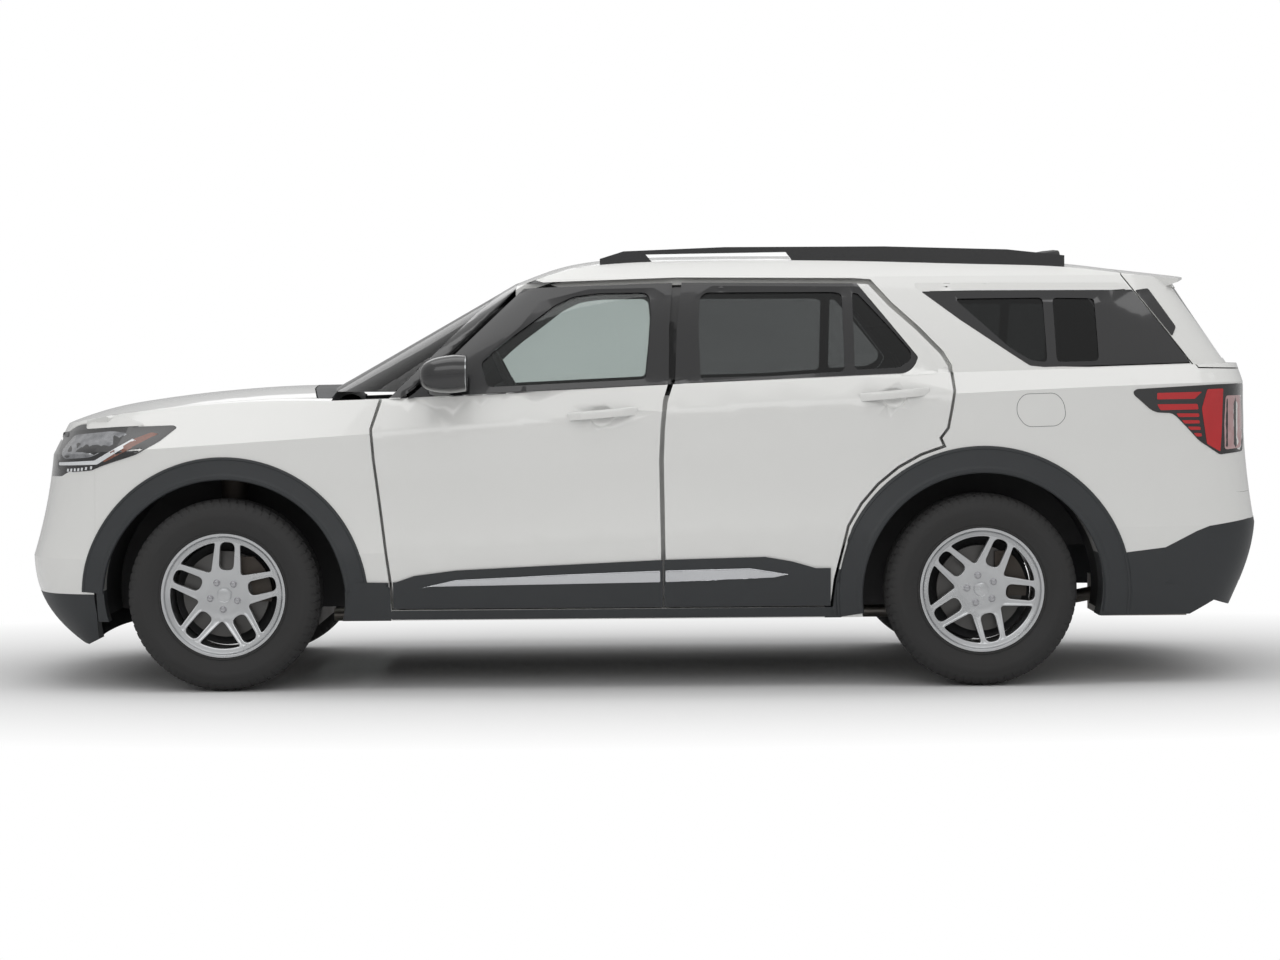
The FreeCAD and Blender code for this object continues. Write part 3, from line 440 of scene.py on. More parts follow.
def skinOf(name, node, cells, grow, finish, body):
    # A close cover over a node inside each cell, a list of planes (x, z, and the way that is kept)
    whole = bmesh.new()
    for planes in cells:
        bm = nodeMesh(node)
        for x, z, wayX, wayZ in planes:
            everything = bm.verts[:] + bm.edges[:] + bm.faces[:]
            cut = bmesh.ops.bisect_plane(bm, geom=everything, plane_co=(x, 0, z), plane_no=(wayX, 0, wayZ),
                                         clear_inner=True)
            rim = [e for e in cut["geom_cut"] if isinstance(e, bmesh.types.BMEdge) and e.is_valid]
            bmesh.ops.holes_fill(bm, edges=rim, sides=0)
        bm.normal_update()
        moves = [(v, v.normal * v.calc_shell_factor()) for v in bm.verts]
        for vertex, way in moves:
            vertex.co += way * grow if way.length < 3 else way.normalized() * grow
        copyInto(whole, bm)
    return addPiece(name, whole, finish, body)


def spunAbout(profile, count):
    # Turns a closed line of (radius, y) points about the Y axis
    angles = [2 * math.pi * k / count for k in range(count)]
    return joinRows([[turnedAt(r, y, a) for r, y in profile] for a in angles], loop=True)


def sweptAlong(points, section, closed=False, up=Vector((0, 0, 1))):
    # Carries a closed section of (side, up) points along a line of places
    count = len(points)
    rings = []
    for k in range(count):
        before = points[k - 1] if closed or k else points[0]
        after = points[(k + 1) % count] if closed or k < count - 1 else points[-1]
        ahead = (after - before).normalized()
        across = ahead.cross(up).normalized()
        rise = across.cross(ahead).normalized()
        rings.append([points[k] + across * s + rise * u for s, u in section])
    return joinRows(rings, closed, ends=not closed)


def roundLine(corners, radius, steps=5):
    # A closed outline of (x, z) with its corners rounded
    line = []
    count = len(corners)
    for k in range(count):
        here = Vector(corners[k])
        before, after = Vector(corners[k - 1]), Vector(corners[(k + 1) % count])
        one, two = (before - here), (after - here)
        reach = min(radius, one.length * 0.45, two.length * 0.45)
        a, b = here + one.normalized() * reach, here + two.normalized() * reach
        for i in range(steps + 1):
            t = i / steps
            line.append(a.lerp(here, t).lerp(here.lerp(b, t), t))
    return line


def finer(line, step):
    # The same closed outline with no piece longer than a step
    out = []
    for k, here in enumerate(line):
        after = line[(k + 1) % len(line)]
        parts = max(1, int((after - here).length / step))
        out += [here.lerp(after, i / parts) for i in range(parts)]
    return out


def insideLine(x, z, line):
    # Whether a closed outline holds a place
    inside = False
    for k, a in enumerate(line):
        b = line[k - 1]
        if (a.y > z) != (b.y > z) and x < (b.x - a.x) * (z - a.y) / (b.y - a.y) + a.x:
            inside = not inside
    return inside


def shrunk(line, amount):
    # The closed outline moved inwards
    area = sum(a.cross(line[(k + 1) % len(line)]) for k, a in enumerate(line))
    turn = 1 if area > 0 else -1
    out = []
    for k, here in enumerate(line):
        along = (line[(k + 1) % len(line)] - line[k - 1]).normalized()
        out.append(here + Vector((-along.y, along.x)) * amount * turn)
    return out


def closedSheet(bm, high, low, spots, faces, kept):
    # Joins two layers of the same flat faces, where their middles are kept, and walls in every edge
    rim = {}
    for face in faces:
        middle = sum((spots[i] for i in face), Vector((0, 0))) / len(face)
        if not kept(middle):
            continue
        bm.faces.new([high[i] for i in face])
        bm.faces.new([low[i] for i in reversed(face)])
        for k, a in enumerate(face):
            b = face[(k + 1) % len(face)]
            if (b, a) in rim:
                del rim[(b, a)]
            else:
                rim[(a, b)] = True
    for a, b in rim:
        bm.faces.new((high[b], high[a], low[a], low[b]))
    bmesh.ops.delete(bm, geom=[v for v in bm.verts if not v.link_faces], context="VERTS")
    return bm


def lineEdges(lines):
    # All lines' points in one list, and the edges that close each line
    flat, edges = [], []
    for line in lines:
        first, count = len(flat), len(line)
        flat += line
        edges += [(first + k, first + (k + 1) % count) for k in range(count)]
    return flat, edges


def drapedOn(surface, outline, side, lift, thick, holes=(), step=0.04, edgeStep=0.015):
    # A thin cover laid on a surface: (x, z) outline and holes, seen from the side
    way = wayOf[side]
    outer = finer(outline, edgeStep)
    gaps = [finer(hole, edgeStep) for hole in holes]
    flat, edges = lineEdges([outer] + gaps)
    casts = shrunk(outer, 0.002)
    for gap in gaps:
        casts += shrunk(gap, -0.002)

    def kept(spot):
        return insideLine(spot.x, spot.y, outer) and not any(insideLine(spot.x, spot.y, gap) for gap in gaps)

    lowX, highX = min(p.x for p in outer), max(p.x for p in outer)
    lowZ, highZ = min(p.y for p in outer), max(p.y for p in outer)
    x = lowX + step / 2
    while x < highX:
        z = lowZ + step / 2
        while z < highZ:
            spot = Vector((x, z))
            if kept(spot) and min((spot - p).length for p in flat[:len(casts)]) > edgeStep * 0.6:
                flat.append(spot)
            z += step
        x += step
    casts += flat[len(casts):]
    spots, _, faces, sources = mathutils.geometry.delaunay_2d_cdt(flat, edges, [], 0, 1e-6)[:4]
    reach = []
    for k, spot in enumerate(spots):
        cast = casts[sources[k][0]] if sources[k] else spot
        reach.append(castY(surface, cast.x, cast.y, way))
    # Past the surface's edge the cover keeps the reach of the nearest place on it
    found = [k for k, y in enumerate(reach) if y is not None]
    for k, spot in enumerate(spots):
        if reach[k] is None:
            reach[k] = reach[min(found, key=lambda i: (spots[i] - spot).length)]
    bm = bmesh.new()
    low, high = [], []
    for spot, y in zip(spots, reach):
        low.append(bm.verts.new((spot.x, y + way * lift, spot.y)))
        high.append(bm.verts.new((spot.x, y + way * (lift + thick), spot.y)))
    return closedSheet(bm, high, low, spots, faces, kept)


def metres(points):
    # Pairs of millimetres in metres
    return [(x / 1000, z / 1000) for x, z in points]


def patch(name, surface, outline, side, finish, body="body", holes=(), corner=0.008, **cover):
    # A cover on one side of the car, with its outline and holes in millimetres
    cover = {"lift": 0.0003, "thick": 0.0012, **cover}
    rounded = [roundLine(metres(hole), 0.02) for hole in holes]
    bm = drapedOn(surface, roundLine(metres(outline), corner, 4), side, holes=rounded, **cover)
    return addPiece(name + "_" + side, bm, finish, body)


# Window surrounds: black covers over the door frames, the pillars and the tailgate's sides

surround = {
    "grow": 0.0005,
    "cover": {"lift": 0.0007, "thick": 0.0013},
    # Planes that bound the covers: a place (x, z) in metres, and the way that is kept
    "belt": [(0, 1.2064, 0.0433, 1)],
    "rearEdge": [(-2.1396, 0, 1, -0.7796), (-1.103, 1.291, 0.44, 0.26), (-1.071, 1.258, 0.22, 0.38)],
    "middlePillar": [(-0.21, 0, 1, 0), (-0.05, 0, -1, 0), (0, 1.22, 0, 1), (0, 1.612, 0, -1)],
    "screenPillar": [(0, 1.167, 0, 1), (0.379, 1.624, 1, -3.18)],
    # Round the frame's own openings, down to the photograph's glass
    "frontFrame": [(787, 1175), (583, 1361), (478, 1447), (397, 1549), (203, 1597), (-62, 1601), (-105, 1575),
                   (-108, 1480), (-102, 1213)],
    "rearFrame": [(-205, 1217), (-226, 1563), (-296, 1607), (-880, 1600), (-893, 1598), (-1115, 1313),
                  (-1104, 1286), (-1090, 1269), (-1072, 1256), (-1052, 1249)],
    "frontWindow": [(607, 1206), (633, 1303), (557, 1372), (438, 1458), (340, 1532), (262, 1568), (170, 1580),
                    (-22, 1582), (-44, 1566), (-50, 1492), (-42, 1376), (-26, 1233)],
    "rearWindow": [(-246, 1224), (-240, 1450), (-248, 1560), (-272, 1580), (-790, 1578), (-820, 1570),
                   (-820, 1258)],
    "rearLight": [(-862, 1575), (-885, 1571), (-1000, 1442), (-1090, 1334), (-1086, 1300), (-1040, 1272),
                  (-862, 1264)],
    # White behind the slanted edge of the rear door's glass
    "rearPillar": [(-898, 1594), (-1117.5, 1313), (-1105.5, 1285), (-1091.5, 1267.5), (-1073, 1254.5),
                   (-1052, 1247.5), (-1046, 1238), (-1190, 1246), (-1193, 1262), (-1161, 1325), (-1050, 1447),
                   (-969, 1539), (-915, 1588)],
    "winglet": [(-2014, 1577), (-2070, 1585), (-2171, 1427), (-2150, 1389)],
}


def makeSurrounds(side):
    look = surround
    front, rear, flank = "door_front_" + side, "door_rear_" + side, "body_side_" + side
    for name, node, cell, body in (("frame_front_", front + "_panel", look["belt"], front),
                                   ("frame_rear_", rear + "_panel", look["belt"] + look["rearEdge"], rear),
                                   ("middle_pillar_", flank, look["middlePillar"], "body"),
                                   ("screen_pillar_", flank, look["screenPillar"], "body")):
        skinOf(name + side, node, [cell], look["grow"], "pillarBlack", body)
    surface = surfaceOf(front + "_panel", sunk=(front + "_glass",))
    patch("surround_front", surface, look["frontFrame"], side, "pillarBlack", front,
          [look["frontWindow"]], **look["cover"])
    surface = surfaceOf(rear + "_panel", sunk=(rear + "_glass",))
    patch("surround_rear", surface, look["rearFrame"], side, "pillarBlack", rear,
          [look["rearWindow"], look["rearLight"]], **look["cover"])
    patch("pillar_cover", surface, look["rearPillar"], side, "whitePaint", rear, **look["cover"])
    patch("tailgate_winglet", surfaceOf("tailgate_panel"), look["winglet"], side, "pillarBlack", "tailgate",
          thick=0.003)


for side in wayOf:
    makeSurrounds(side)
print("surrounds: doors, screen pillars and tailgate sides")


# Quarter windows: the printed black edge on the glass, and the white panel over their tops

quarterEdge = {
    "outline": [(-1142, 1577), (-1293, 1461), (-1486, 1327), (-1564, 1275), (-1620, 1269), (-1759, 1272),
                (-2216, 1283), (-2139, 1391), (-2012, 1566), (-2002, 1580), (-1918, 1577), (-1361, 1579)],
    "holes": [[(-1275, 1547), (-1632, 1549), (-1634, 1288), (-1570, 1296), (-1486, 1348)],
              [(-1672, 1548), (-1822, 1545), (-1842, 1540), (-1842, 1292), (-1672, 1289)]],
    "top": [(-1118, 1595), (-1142, 1578.5), (-1361, 1580.5), (-1918, 1578.5), (-1990, 1583), (-1970, 1608),
            (-1118, 1612)],
}


def makeQuarter(side):
    look = quarterEdge
    surface = surfaceOf("body_side_" + side, sunk=("quarter_glasses",))
    patch("quarter_edge", surface, look["outline"], side, "glassPrint", holes=look["holes"])
    patch("quarter_top", surface, look["top"], side, "whitePaint", thick=0.0011)


for side in wayOf:
    makeQuarter(side)


# Wheels: five pairs of grooved spokes, nuts, a blank cap, the brake disc and its shield

wheelLook = {
    "pitch": 0.082,             # between the two spokes of a pair
    "spoke": 0.024,
    "slotStart": 0.100,
    "slotEnd": 0.213,
    "webEnd": 0.2175,
    "windowTip": 0.012,         # from where a window's spokes meet to its inner end
    "windowRound": 0.016,
    "edge": 0.0035,             # rounding of the spokes' edges
    "groove": 0.0014,           # depth, then how near a hole and how far out it lies
    "grooveEnd": 0.014,
    "grooveStart": 0.105,
    "insets": (0.0011, 0.0035, 0.007, 0.0115),      # rows of points round each hole
    "holeStep": 0.007,
    "ringStep": 0.011,          # between the rings of points on the rest of the web
    "nutBack": 0.067,
    "front": [(0, 0.068), (0.074, 0.068), (0.130, 0.076), (0.225, 0.0925)],
    "back": [(0, 0.030), (0.074, 0.030), (0.130, 0.046), (0.225, 0.066)],
    "nutCircle": 0.05715,
    "nutRadius": 0.0112,
    "nutReach": 0.0165,
    "turn": {"front": -5, "rear": -23},     # degrees
    "place": {"front": (1.665, 0.384), "rear": (-1.360, 0.384)},
    "reach": 0.8575,            # the wheel's middle from the car's
    # Closed outlines of (radius, outward) in millimetres; the barrel's radii are in tenths
    "barrel": [(2285, 94), (2476, 99), (2476, 108), (2440, 108.4), (2375, 107), (2330, 101), (2290, 96),
               (2210, 93.5), (2170, 90), (2168, 60), (2145, 20), (2140, -60), (2150, -94), (2390, -108),
               (2476, -108), (2476, -102), (2285, -94), (2283, -68), (2230, -30), (2230, 40), (2283, 72)],
    "cap": [(0.1, 79.5), (15, 79), (25.8, 77), (27, 75), (29.1, 75.5), (30, 73.5), (30, 67), (0.1, 67)],
    "disc": [(90, -22), (172, -22), (172, -12), (160, -11), (160, -5), (172, -4), (172, 6), (91, 6), (88, 7),
             (88, 29), (36, 29), (36, 18), (78, 18), (78, -12), (90, -12)],
    "shield": [(50, -47), (150, -47), (185, -40), (206, -30), (206, -33), (186, -43), (150, -50), (50, -50)],
}


def heightAt(line, x):
    # How high a rising line of points is at x
    for (x0, y0), (x1, y1) in zip(line, line[1:]):
        if x <= x1:
            return y0 + (y1 - y0) * (x - x0) / (x1 - x0)
    return line[-1][1]


def placeWheel(bm, end, way):
    # From the wheel's own place to its place on the car
    x, z = wheelLook["place"][end]
    turn = Matrix.Rotation(math.radians(wheelLook["turn"][end]), 4, "Y")
    bmesh.ops.transform(bm, matrix=turn, verts=bm.verts)
    if way < 0:
        mirrorMesh(bm)
    bmesh.ops.translate(bm, vec=(x, way * wheelLook["reach"], z), verts=bm.verts)
    return bm


def wheelHoles():
    # The outlines cut through the web: five slots inside the pairs and five windows between them
    look = wheelLook
    half = (look["pitch"] - look["spoke"]) / 2
    a, b = look["slotStart"], look["slotEnd"]
    slot = roundLine([(a, -half), (b, -half), (b, half), (a, half)], half * 0.98, 8)
    lean = math.radians(36)
    tip = (look["pitch"] + look["spoke"]) / 2 / math.sin(lean) + look["windowTip"]
    edge = []
    for k in range(9):
        turn = lean * 0.62 * (k / 4 - 1)
        edge.append((b * math.cos(turn), b * math.sin(turn)))
    window = roundLine([(tip, 0)] + edge, look["windowRound"])
    holes = []
    for k in range(5):
        for line, degrees in ((slot, 90 + 72 * k), (window, 126 + 72 * k)):
            turn = Matrix.Rotation(math.radians(degrees), 2)
            holes.append([turn @ p for p in line])
    return holes


def nearLine(spot, line):
    # The distance from a spot to a closed line
    best = 1.0
    for k, a in enumerate(line):
        b = line[k - 1]
        way = b - a
        t = max(0, min(1, (spot - a).dot(way) / max(way.length_squared, 1e-12)))
        best = min(best, (spot - a - way * t).length)
    return best


def makeWeb():
    look = wheelLook
    holes = [finer(hole, look["holeStep"]) for hole in wheelHoles()]

    def near(spot):
        return min(nearLine(spot, hole) for hole in holes)

    def kept(spot):
        return spot.length <= look["webEnd"] and not any(insideLine(spot.x, spot.y, hole) for hole in holes)

    flat, edges = lineEdges([[Vector(p) for p in ringOf(120, look["webEnd"])]] + holes)
    for hole in holes:
        for inset in look["insets"]:
            flat += [p for p in shrunk(hole, -inset) if p.length < look["webEnd"] - 0.002 and kept(p)]
    for ring in range(2, 20):
        points = map(Vector, ringOf(60, ring * look["ringStep"]))
        flat += [p for p in points if near(p) > look["insets"][-1] + 0.0015 and kept(p)]
    spots, _, faces = mathutils.geometry.delaunay_2d_cdt(flat, edges, [], 0, 1e-6)[:3]
    bm = bmesh.new()
    high, low = [], []
    for p in spots:
        gap = near(p)
        drop = 0
        if gap < look["edge"]:
            drop = look["edge"] * (1 - math.sqrt(max(0, 1 - (1 - gap / look["edge"]) ** 2)))
        elif gap < look["grooveEnd"] and p.length > look["grooveStart"]:
            drop = look["groove"] * min(1, (gap - look["edge"]) / 0.006)
        high.append(bm.verts.new((p.x, heightAt(look["front"], p.length) - drop, p.y)))
        low.append(bm.verts.new((p.x, heightAt(look["back"], p.length), p.y)))
    return closedSheet(bm, high, low, spots, faces, kept)


def makeNut():
    # A six sided nut with a domed end on a flared seat
    reach, radius = wheelLook["nutReach"], wheelLook["nutRadius"]
    rings = [(radius * 1.32, 0), (radius * 1.25, 0.004), (radius, 0.0065), (radius, reach * 0.78),
             (radius * 0.8, reach * 0.95), (radius * 0.4, reach)]
    rows = []
    for k, (r, y) in enumerate(rings):
        row = []
        for i in range(24):
            a = 2 * math.pi * i / 24
            corner = math.cos(math.radians(30)) / math.cos(a % (math.pi / 3) - math.pi / 6)
            row.append(turnedAt(r * (corner if 1 < k < 4 else 1), y, a))
        rows.append(row)
    return joinRows(rows, ends=True)


def spunPart(key, end, side, count=72, scale=0.001):
    # One of the wheel's round parts, spun and put in its place
    profile = [(r * scale, y / 1000) for r, y in wheelLook[key]]
    return placeWheel(spunAbout(profile, count), end, wayOf[side])


def makeWheel(end, side, web):
    name = end + "_" + side
    body = "wheel_" + name
    bm = bmesh.new()
    bm.from_mesh(web)
    placeWheel(bm, end, wayOf[side])
    copyInto(bm, spunPart("barrel", end, side, 96, 0.0001))
    rim = addPiece("rim_" + name, bm, "wheelPaint", body, 38)
    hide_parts("wheel_" + name)
    nuts = bmesh.new()
    for k in range(5):
        nut = makeNut()
        spot = turnedAt(wheelLook["nutCircle"], wheelLook["nutBack"], math.radians(54 + 72 * k))
        bmesh.ops.translate(nut, vec=spot, verts=nut.verts)
        copyInto(nuts, nut)
    addPiece("nuts_" + name, placeWheel(nuts, end, wayOf[side]), "nutSteel", body, 25)
    addPiece("cap_" + name, spunPart("cap", end, side, 48), "wheelPaint", body, 40)
    addPiece("disc_" + name, spunPart("disc", end, side), "discIron", body, 30)
    holder = "knuckle_" + side if end == "front" else "body"
    addPiece("dust_shield_" + name, spunPart("shield", end, side), "underPlastic", holder, 30)


# Tyres: grooved tread, shoulder blocks and ribs on the side, with no lettering

tyreLook = {
    "pitches": 68,              # tread blocks round the tyre
    "parts": 6,                 # steps in each block
    "grooves": ((0.0235, 0.0345), (0.0605, 0.0722)),    # from the tread's middle
    "grooveDepth": 0.0075,
    "sipeDepth": 0.005,
    "shoulderDepth": 0.0035,
    "rib": 0.0004,              # height of the ribs on the side wall, and from which radius to which
    "ribs": (0.263, 0.31),
    "notch": 0.0012,            # depth of the notches above them, and from which radius
    "notches": 0.334,
    "tread": 0.357,             # radius from which the tread's cuts begin
    # Half of the tyre, from the bead outwards: (radius, outward) in millimetres
    "outside": [(229.5, 96), (236, 98.5), (246, 101), (249.5, 106), (252, 109.5), (256, 110), (259, 107),
                (262, 107.5), (275, 114.5), (288, 120.5), (300, 124.2), (311, 126.4), (314, 127.3),
                (330, 126.6), (333, 125.4), (344, 123.2), (350, 121), (358, 115.5), (365, 109), (371, 102.5),
                (375.5, 95), (379, 87), (381, 78), (381.3, 72), (382.3, 66), (382.5, 60), (383, 42),
                (383.1, 38), (383.5, 30), (383.6, 26), (384, 6), (384, 2)],
    "inside": [(229.5, 82), (262, 100), (320, 112), (362, 98), (366, 50)],
}


def treadDip(y, angle):
    # How deep the tread is cut at one place across (m) and one place round (turns)
    across = abs(y)
    block = angle * tyreLook["pitches"]
    skew = 0.35 * math.sin(across * 26) * (1 if y > 0 else -1)
    part = (block + skew) % 1
    inner, outer = tyreLook["grooves"]
    if any(low < across < high for low, high in (inner, outer)):
        return tyreLook["grooveDepth"]
    if across > outer[1] and part < 0.2:
        return tyreLook["sipeDepth"] if across < 0.1 else tyreLook["shoulderDepth"]
    return tyreLook["sipeDepth"] if part < 0.12 and inner[1] < across < outer[1] else 0


def makeTyre(end, side):
    look = tyreLook
    name = end + "_" + side
    half = metres(look["outside"])
    profile = half + [(r, -y) for r, y in reversed(half)]
    half = metres(look["inside"])
    inner = [(r, -y) for r, y in half] + half[::-1]
    count = look["pitches"] * look["parts"]
    rings = []
    for k in range(count):
        a = 2 * math.pi * k / count
        ring = []
        for r, y in profile:
            rib = look["rib"] * (k % 2) if look["ribs"][0] < r < look["ribs"][1] else 0
            if r > look["tread"]:
                r -= treadDip(y, k / count)
            elif r > look["notches"]:
                r -= look["notch"] * (k % 3 == 0)
            ring.append(turnedAt(r, y - math.copysign(rib, y), a))
        rings.append(ring + [turnedAt(r, y, a) for r, y in inner])
    bm = joinRows(rings, loop=True)
    tyre = addPiece("tread_" + name, placeWheel(bm, end, wayOf[side]), "tyreRubber", "wheel_" + name, 24)
    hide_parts("tyre_" + name)


webMesh = meshFrom("web", makeWeb())
for end in ("front", "rear"):
    for side in wayOf:
        makeWheel(end, side, webMesh)
        makeTyre(end, side)
print("wheels: rims, nuts, caps and tyres")


# Wheel arch mouldings and the sill's strip: a raised face with a rolled lip, in place of the plain ones

archLook = {
    "front": {"x": 1.665, "z": 0.358, "inner": 0.487, "outer": 0.578, "first": 4, "last": 175.5,
              "nodes": ("front_fenders", "front_bumper_cover", "body_side_%s", "front_lower_fascia")},
    "rear": {"x": -1.368, "z": 0.368, "inner": 0.482, "outer": 0.590, "first": -9, "last": 189,
             "nodes": ("body_side_%s", "rear_bumper_cover", "rear_lower_fascia")},
    "clear": 0.42,
    # Part of the width out from the opening, and how far the face stands out
    "section": [(0.0, -0.012), (0.0, 0.006), (0.05, 0.0105), (0.17, 0.0115), (0.25, 0.0075), (0.30, 0.0070),
                (0.86, 0.0042), (0.90, 0.0075), (0.97, 0.0062), (1.0, 0.0020), (1.0, -0.003)],
    "strip": {"lift": -0.001, "thick": 0.0078},
    "sill": [(-762, 318), (-762, 280), (998, 280), (998, 316)],
    "foot": [(1001, 430), (997, 279), (1184, 278), (1184, 300), (1163, 404), (1160, 433)],
}


def makeArch(end, side):
    way = wayOf[side]
    look = archLook[end]
    surface = surfaceOf(*[name % side if "%" in name else name for name in look["nodes"]])
    inner, width = look["inner"], look["outer"] - look["inner"]
    steps = 100
    rows = []
    for k in range(steps + 1):
        a = math.radians(look["first"] + (look["last"] - look["first"]) * k / steps)
        middle, ahead = Vector((look["x"], look["z"])), Vector((math.cos(a), math.sin(a)))
        row = []
        for part, stand in archLook["section"]:
            # The face takes its reach from the body clear of the opening's edge
            spot, cast = (middle + ahead * (inner + width * p) for p in (part, max(part, archLook["clear"])))
            row.append(Vector((spot.x, sideY(surface, cast.x, cast.y, way) + way * stand, spot.y)))
        rows.append(row)
    # Smooths the reach along the arch
    for i in range(len(rows[0])):
        reach = [row[i].y for row in rows]
        for k in range(2, steps - 1):
            rows[k][i].y = sum(reach[k - 2:k + 3]) / 5
    return addPiece("arch_%s_%s" % (end, side), joinRows(rows, ends=True), "roughPlastic", "body", 24)


for side in wayOf:
    for end in ("front", "rear"):
        arch = makeArch(end, side)
        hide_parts("body_cladding")
    sides = surfaceOf("body_side_" + side, "front_fenders")
    for name, outline in (("sill_strip", archLook["sill"]), ("arch_foot", archLook["foot"])):
        patch(name, sides, outline, side, "roughPlastic", **archLook["strip"])


# Chrome strip on the lower doors

stripLook = {
    "front": [(858, 413), (736, 440), (300, 459), (-78, 471.5), (-78, 424.5), (300, 420)],
    "rear": [(-98, 472), (-436, 478), (-591, 453), (-531, 440), (-98, 424.5)],
    "sink": -0.001,
    "stand": 0.0065,
    "bevel": 0.002,
}


def makeStrip(end, side):
    surface = surfaceOf("door_%s_%s_cladding" % (end, side))
    outline = roundLine(metres(stripLook[end]), 0.006, 3)
    bm = drapedOn(surface, outline, side, stripLook["sink"], stripLook["stand"], step=0.012, edgeStep=0.012)
    edges = [e for e in bm.edges if e.is_manifold and e.calc_face_angle(0) > 0.9]
    bmesh.ops.bevel(bm, geom=edges, offset=stripLook["bevel"], segments=2, profile=0.5, affect="EDGES")
    addPiece("chrome_strip_%s_%s" % (end, side), bm, "satinChrome", "door_%s_%s" % (end, side))


for side in wayOf:
    makeStrip("front", side)
    makeStrip("rear", side)
print("trim: arches, sill and chrome strips")


# Dark lower parts of the rear bumper, the fenders and the body's sides

# Cells of planes: a place (x, z) in metres, and the way that is kept
fasciaLook = {
    "tail": [(-2700, 662), (-2440, 655), (-2271, 631), (-2218, 611), (-2092, 547)],
    "front": [(-2092, 547), (-1950, 530)],
    "behindWheel": [(-1.80, 0, -1, 0), (0, 0.528, 0, -1)],
    "behindDoor": [(-0.735, 0, -1, 0), (-0.80, 0, 1, 0), (0, 0.47, 0, -1)],
    "aheadOfWheel": [(2.04, 0, 1, 0), (0, 0.402, 0, -1)],
    "aheadOfDoor": [(1.00, 0, 1, 0), (1.30, 0, -1, 0), (0, 0.428, 0, -1)],
    "grow": 0.0008,
}


def below(points, sign=1):
    # Planes that keep what is under a line of points, or above it for a sign of -1
    return [(x0 / 1000, z0 / 1000, sign * (z1 - z0), sign * (x0 - x1))
            for (x0, z0), (x1, z1) in zip(points, points[1:])]


def makeFascias():
    look = fasciaLook
    split = look["tail"][-1][0] / 1000
    bumper = [below(look["tail"]) + [(split, 0, -1, 0)], below(look["front"]) + [(split, 0, 1, 0)]]
    flank = [look["behindWheel"], look["behindDoor"]]
    for name, node, cells in (("rear_bumper_lower", "rear_bumper_cover", bumper),
                              ("side_lower_left", "body_side_left", flank),
                              ("side_lower_right", "body_side_right", flank),
                              ("fender_lower", "front_fenders", [look["aheadOfWheel"], look["aheadOfDoor"]])):
        skinOf(name, node, cells, look["grow"], "roughPlastic", "body")


makeFascias()


# Tail lamps: white over the tops of the frame's lamps, a black housing, red bars and a clear field

tailLook = {
    "outline": [(-2182, 1022), (-2229, 971), (-2317, 914), (-2345, 918), (-2425, 925), (-2450, 1060),
                (-2440, 1199), (-2296, 1195), (-1977, 1179), (-1963, 1170), (-1966, 1156), (-2033, 1096),
                (-2059, 1085), (-2116, 1082), (-2135, 1070)],
    "bars": [[(-2058, 1163), (-2240, 1166), (-2210, 1138), (-2058, 1137)],
             [(-2058, 1118), (-2222, 1118), (-2226, 1096), (-2072, 1094)],
             [(-2136, 1081), (-2228, 1080), (-2230, 1066), (-2146, 1066)],
             [(-2158, 1054), (-2230, 1053), (-2232, 1040), (-2170, 1040)],
             [(-2182, 1028), (-2234, 1027), (-2236, 1014), (-2194, 1014)],
             [(-2206, 1002), (-2238, 1001), (-2241, 988), (-2218, 988)],
             [(-2262, 1176), (-2330, 1178), (-2324, 1000), (-2318, 926), (-2262, 958), (-2240, 1100)]],
    "top": [(-2700, 1203), (-2296, 1195), (-1977, 1179)],
    "clear": [(-2342, 1150), (-2418, 1150), (-2430, 1040), (-2415, 940), (-2338, 934), (-2336, 1040)],
}


def trimTailLamps():
    # White over what the frame's lamps have above the real outline
    left, middle, right = tailLook["top"]
    split = middle[0] / 1000
    cells = [below([left, middle], -1) + [(split, 0, -1, 0)], below([middle, right], -1) + [(split, 0, 1, 0)]]
    skinOf("tail_lamp_top", "tail_lamps", cells, 0.0006, "whitePaint", "body")


def makeTailLamp(side):
    surface = surfaceOf("tail_lamps", "body_side_" + side, "rear_bumper_cover")
    patch("tail_housing", surface, tailLook["outline"], side, "lampBlack", corner=0.012, thick=0.0022)
    bm = bmesh.new()
    for bar in tailLook["bars"]:
        bar = roundLine(metres(bar), 0.005, 3)
        copyInto(bm, drapedOn(surface, bar, side, lift=0.002, thick=0.0022, step=0.02, edgeStep=0.01))
    addPiece("tail_bars_" + side, bm, "lampRed", "body")
    patch("tail_clear", surface, tailLook["clear"], side, "lampClear", corner=0.012, lift=0.002, thick=0.0016)


trimTailLamps()
for side in wayOf:
    makeTailLamp(side)


# Headlamps: a black housing, bright bowls, light line, side reflector and small blocks

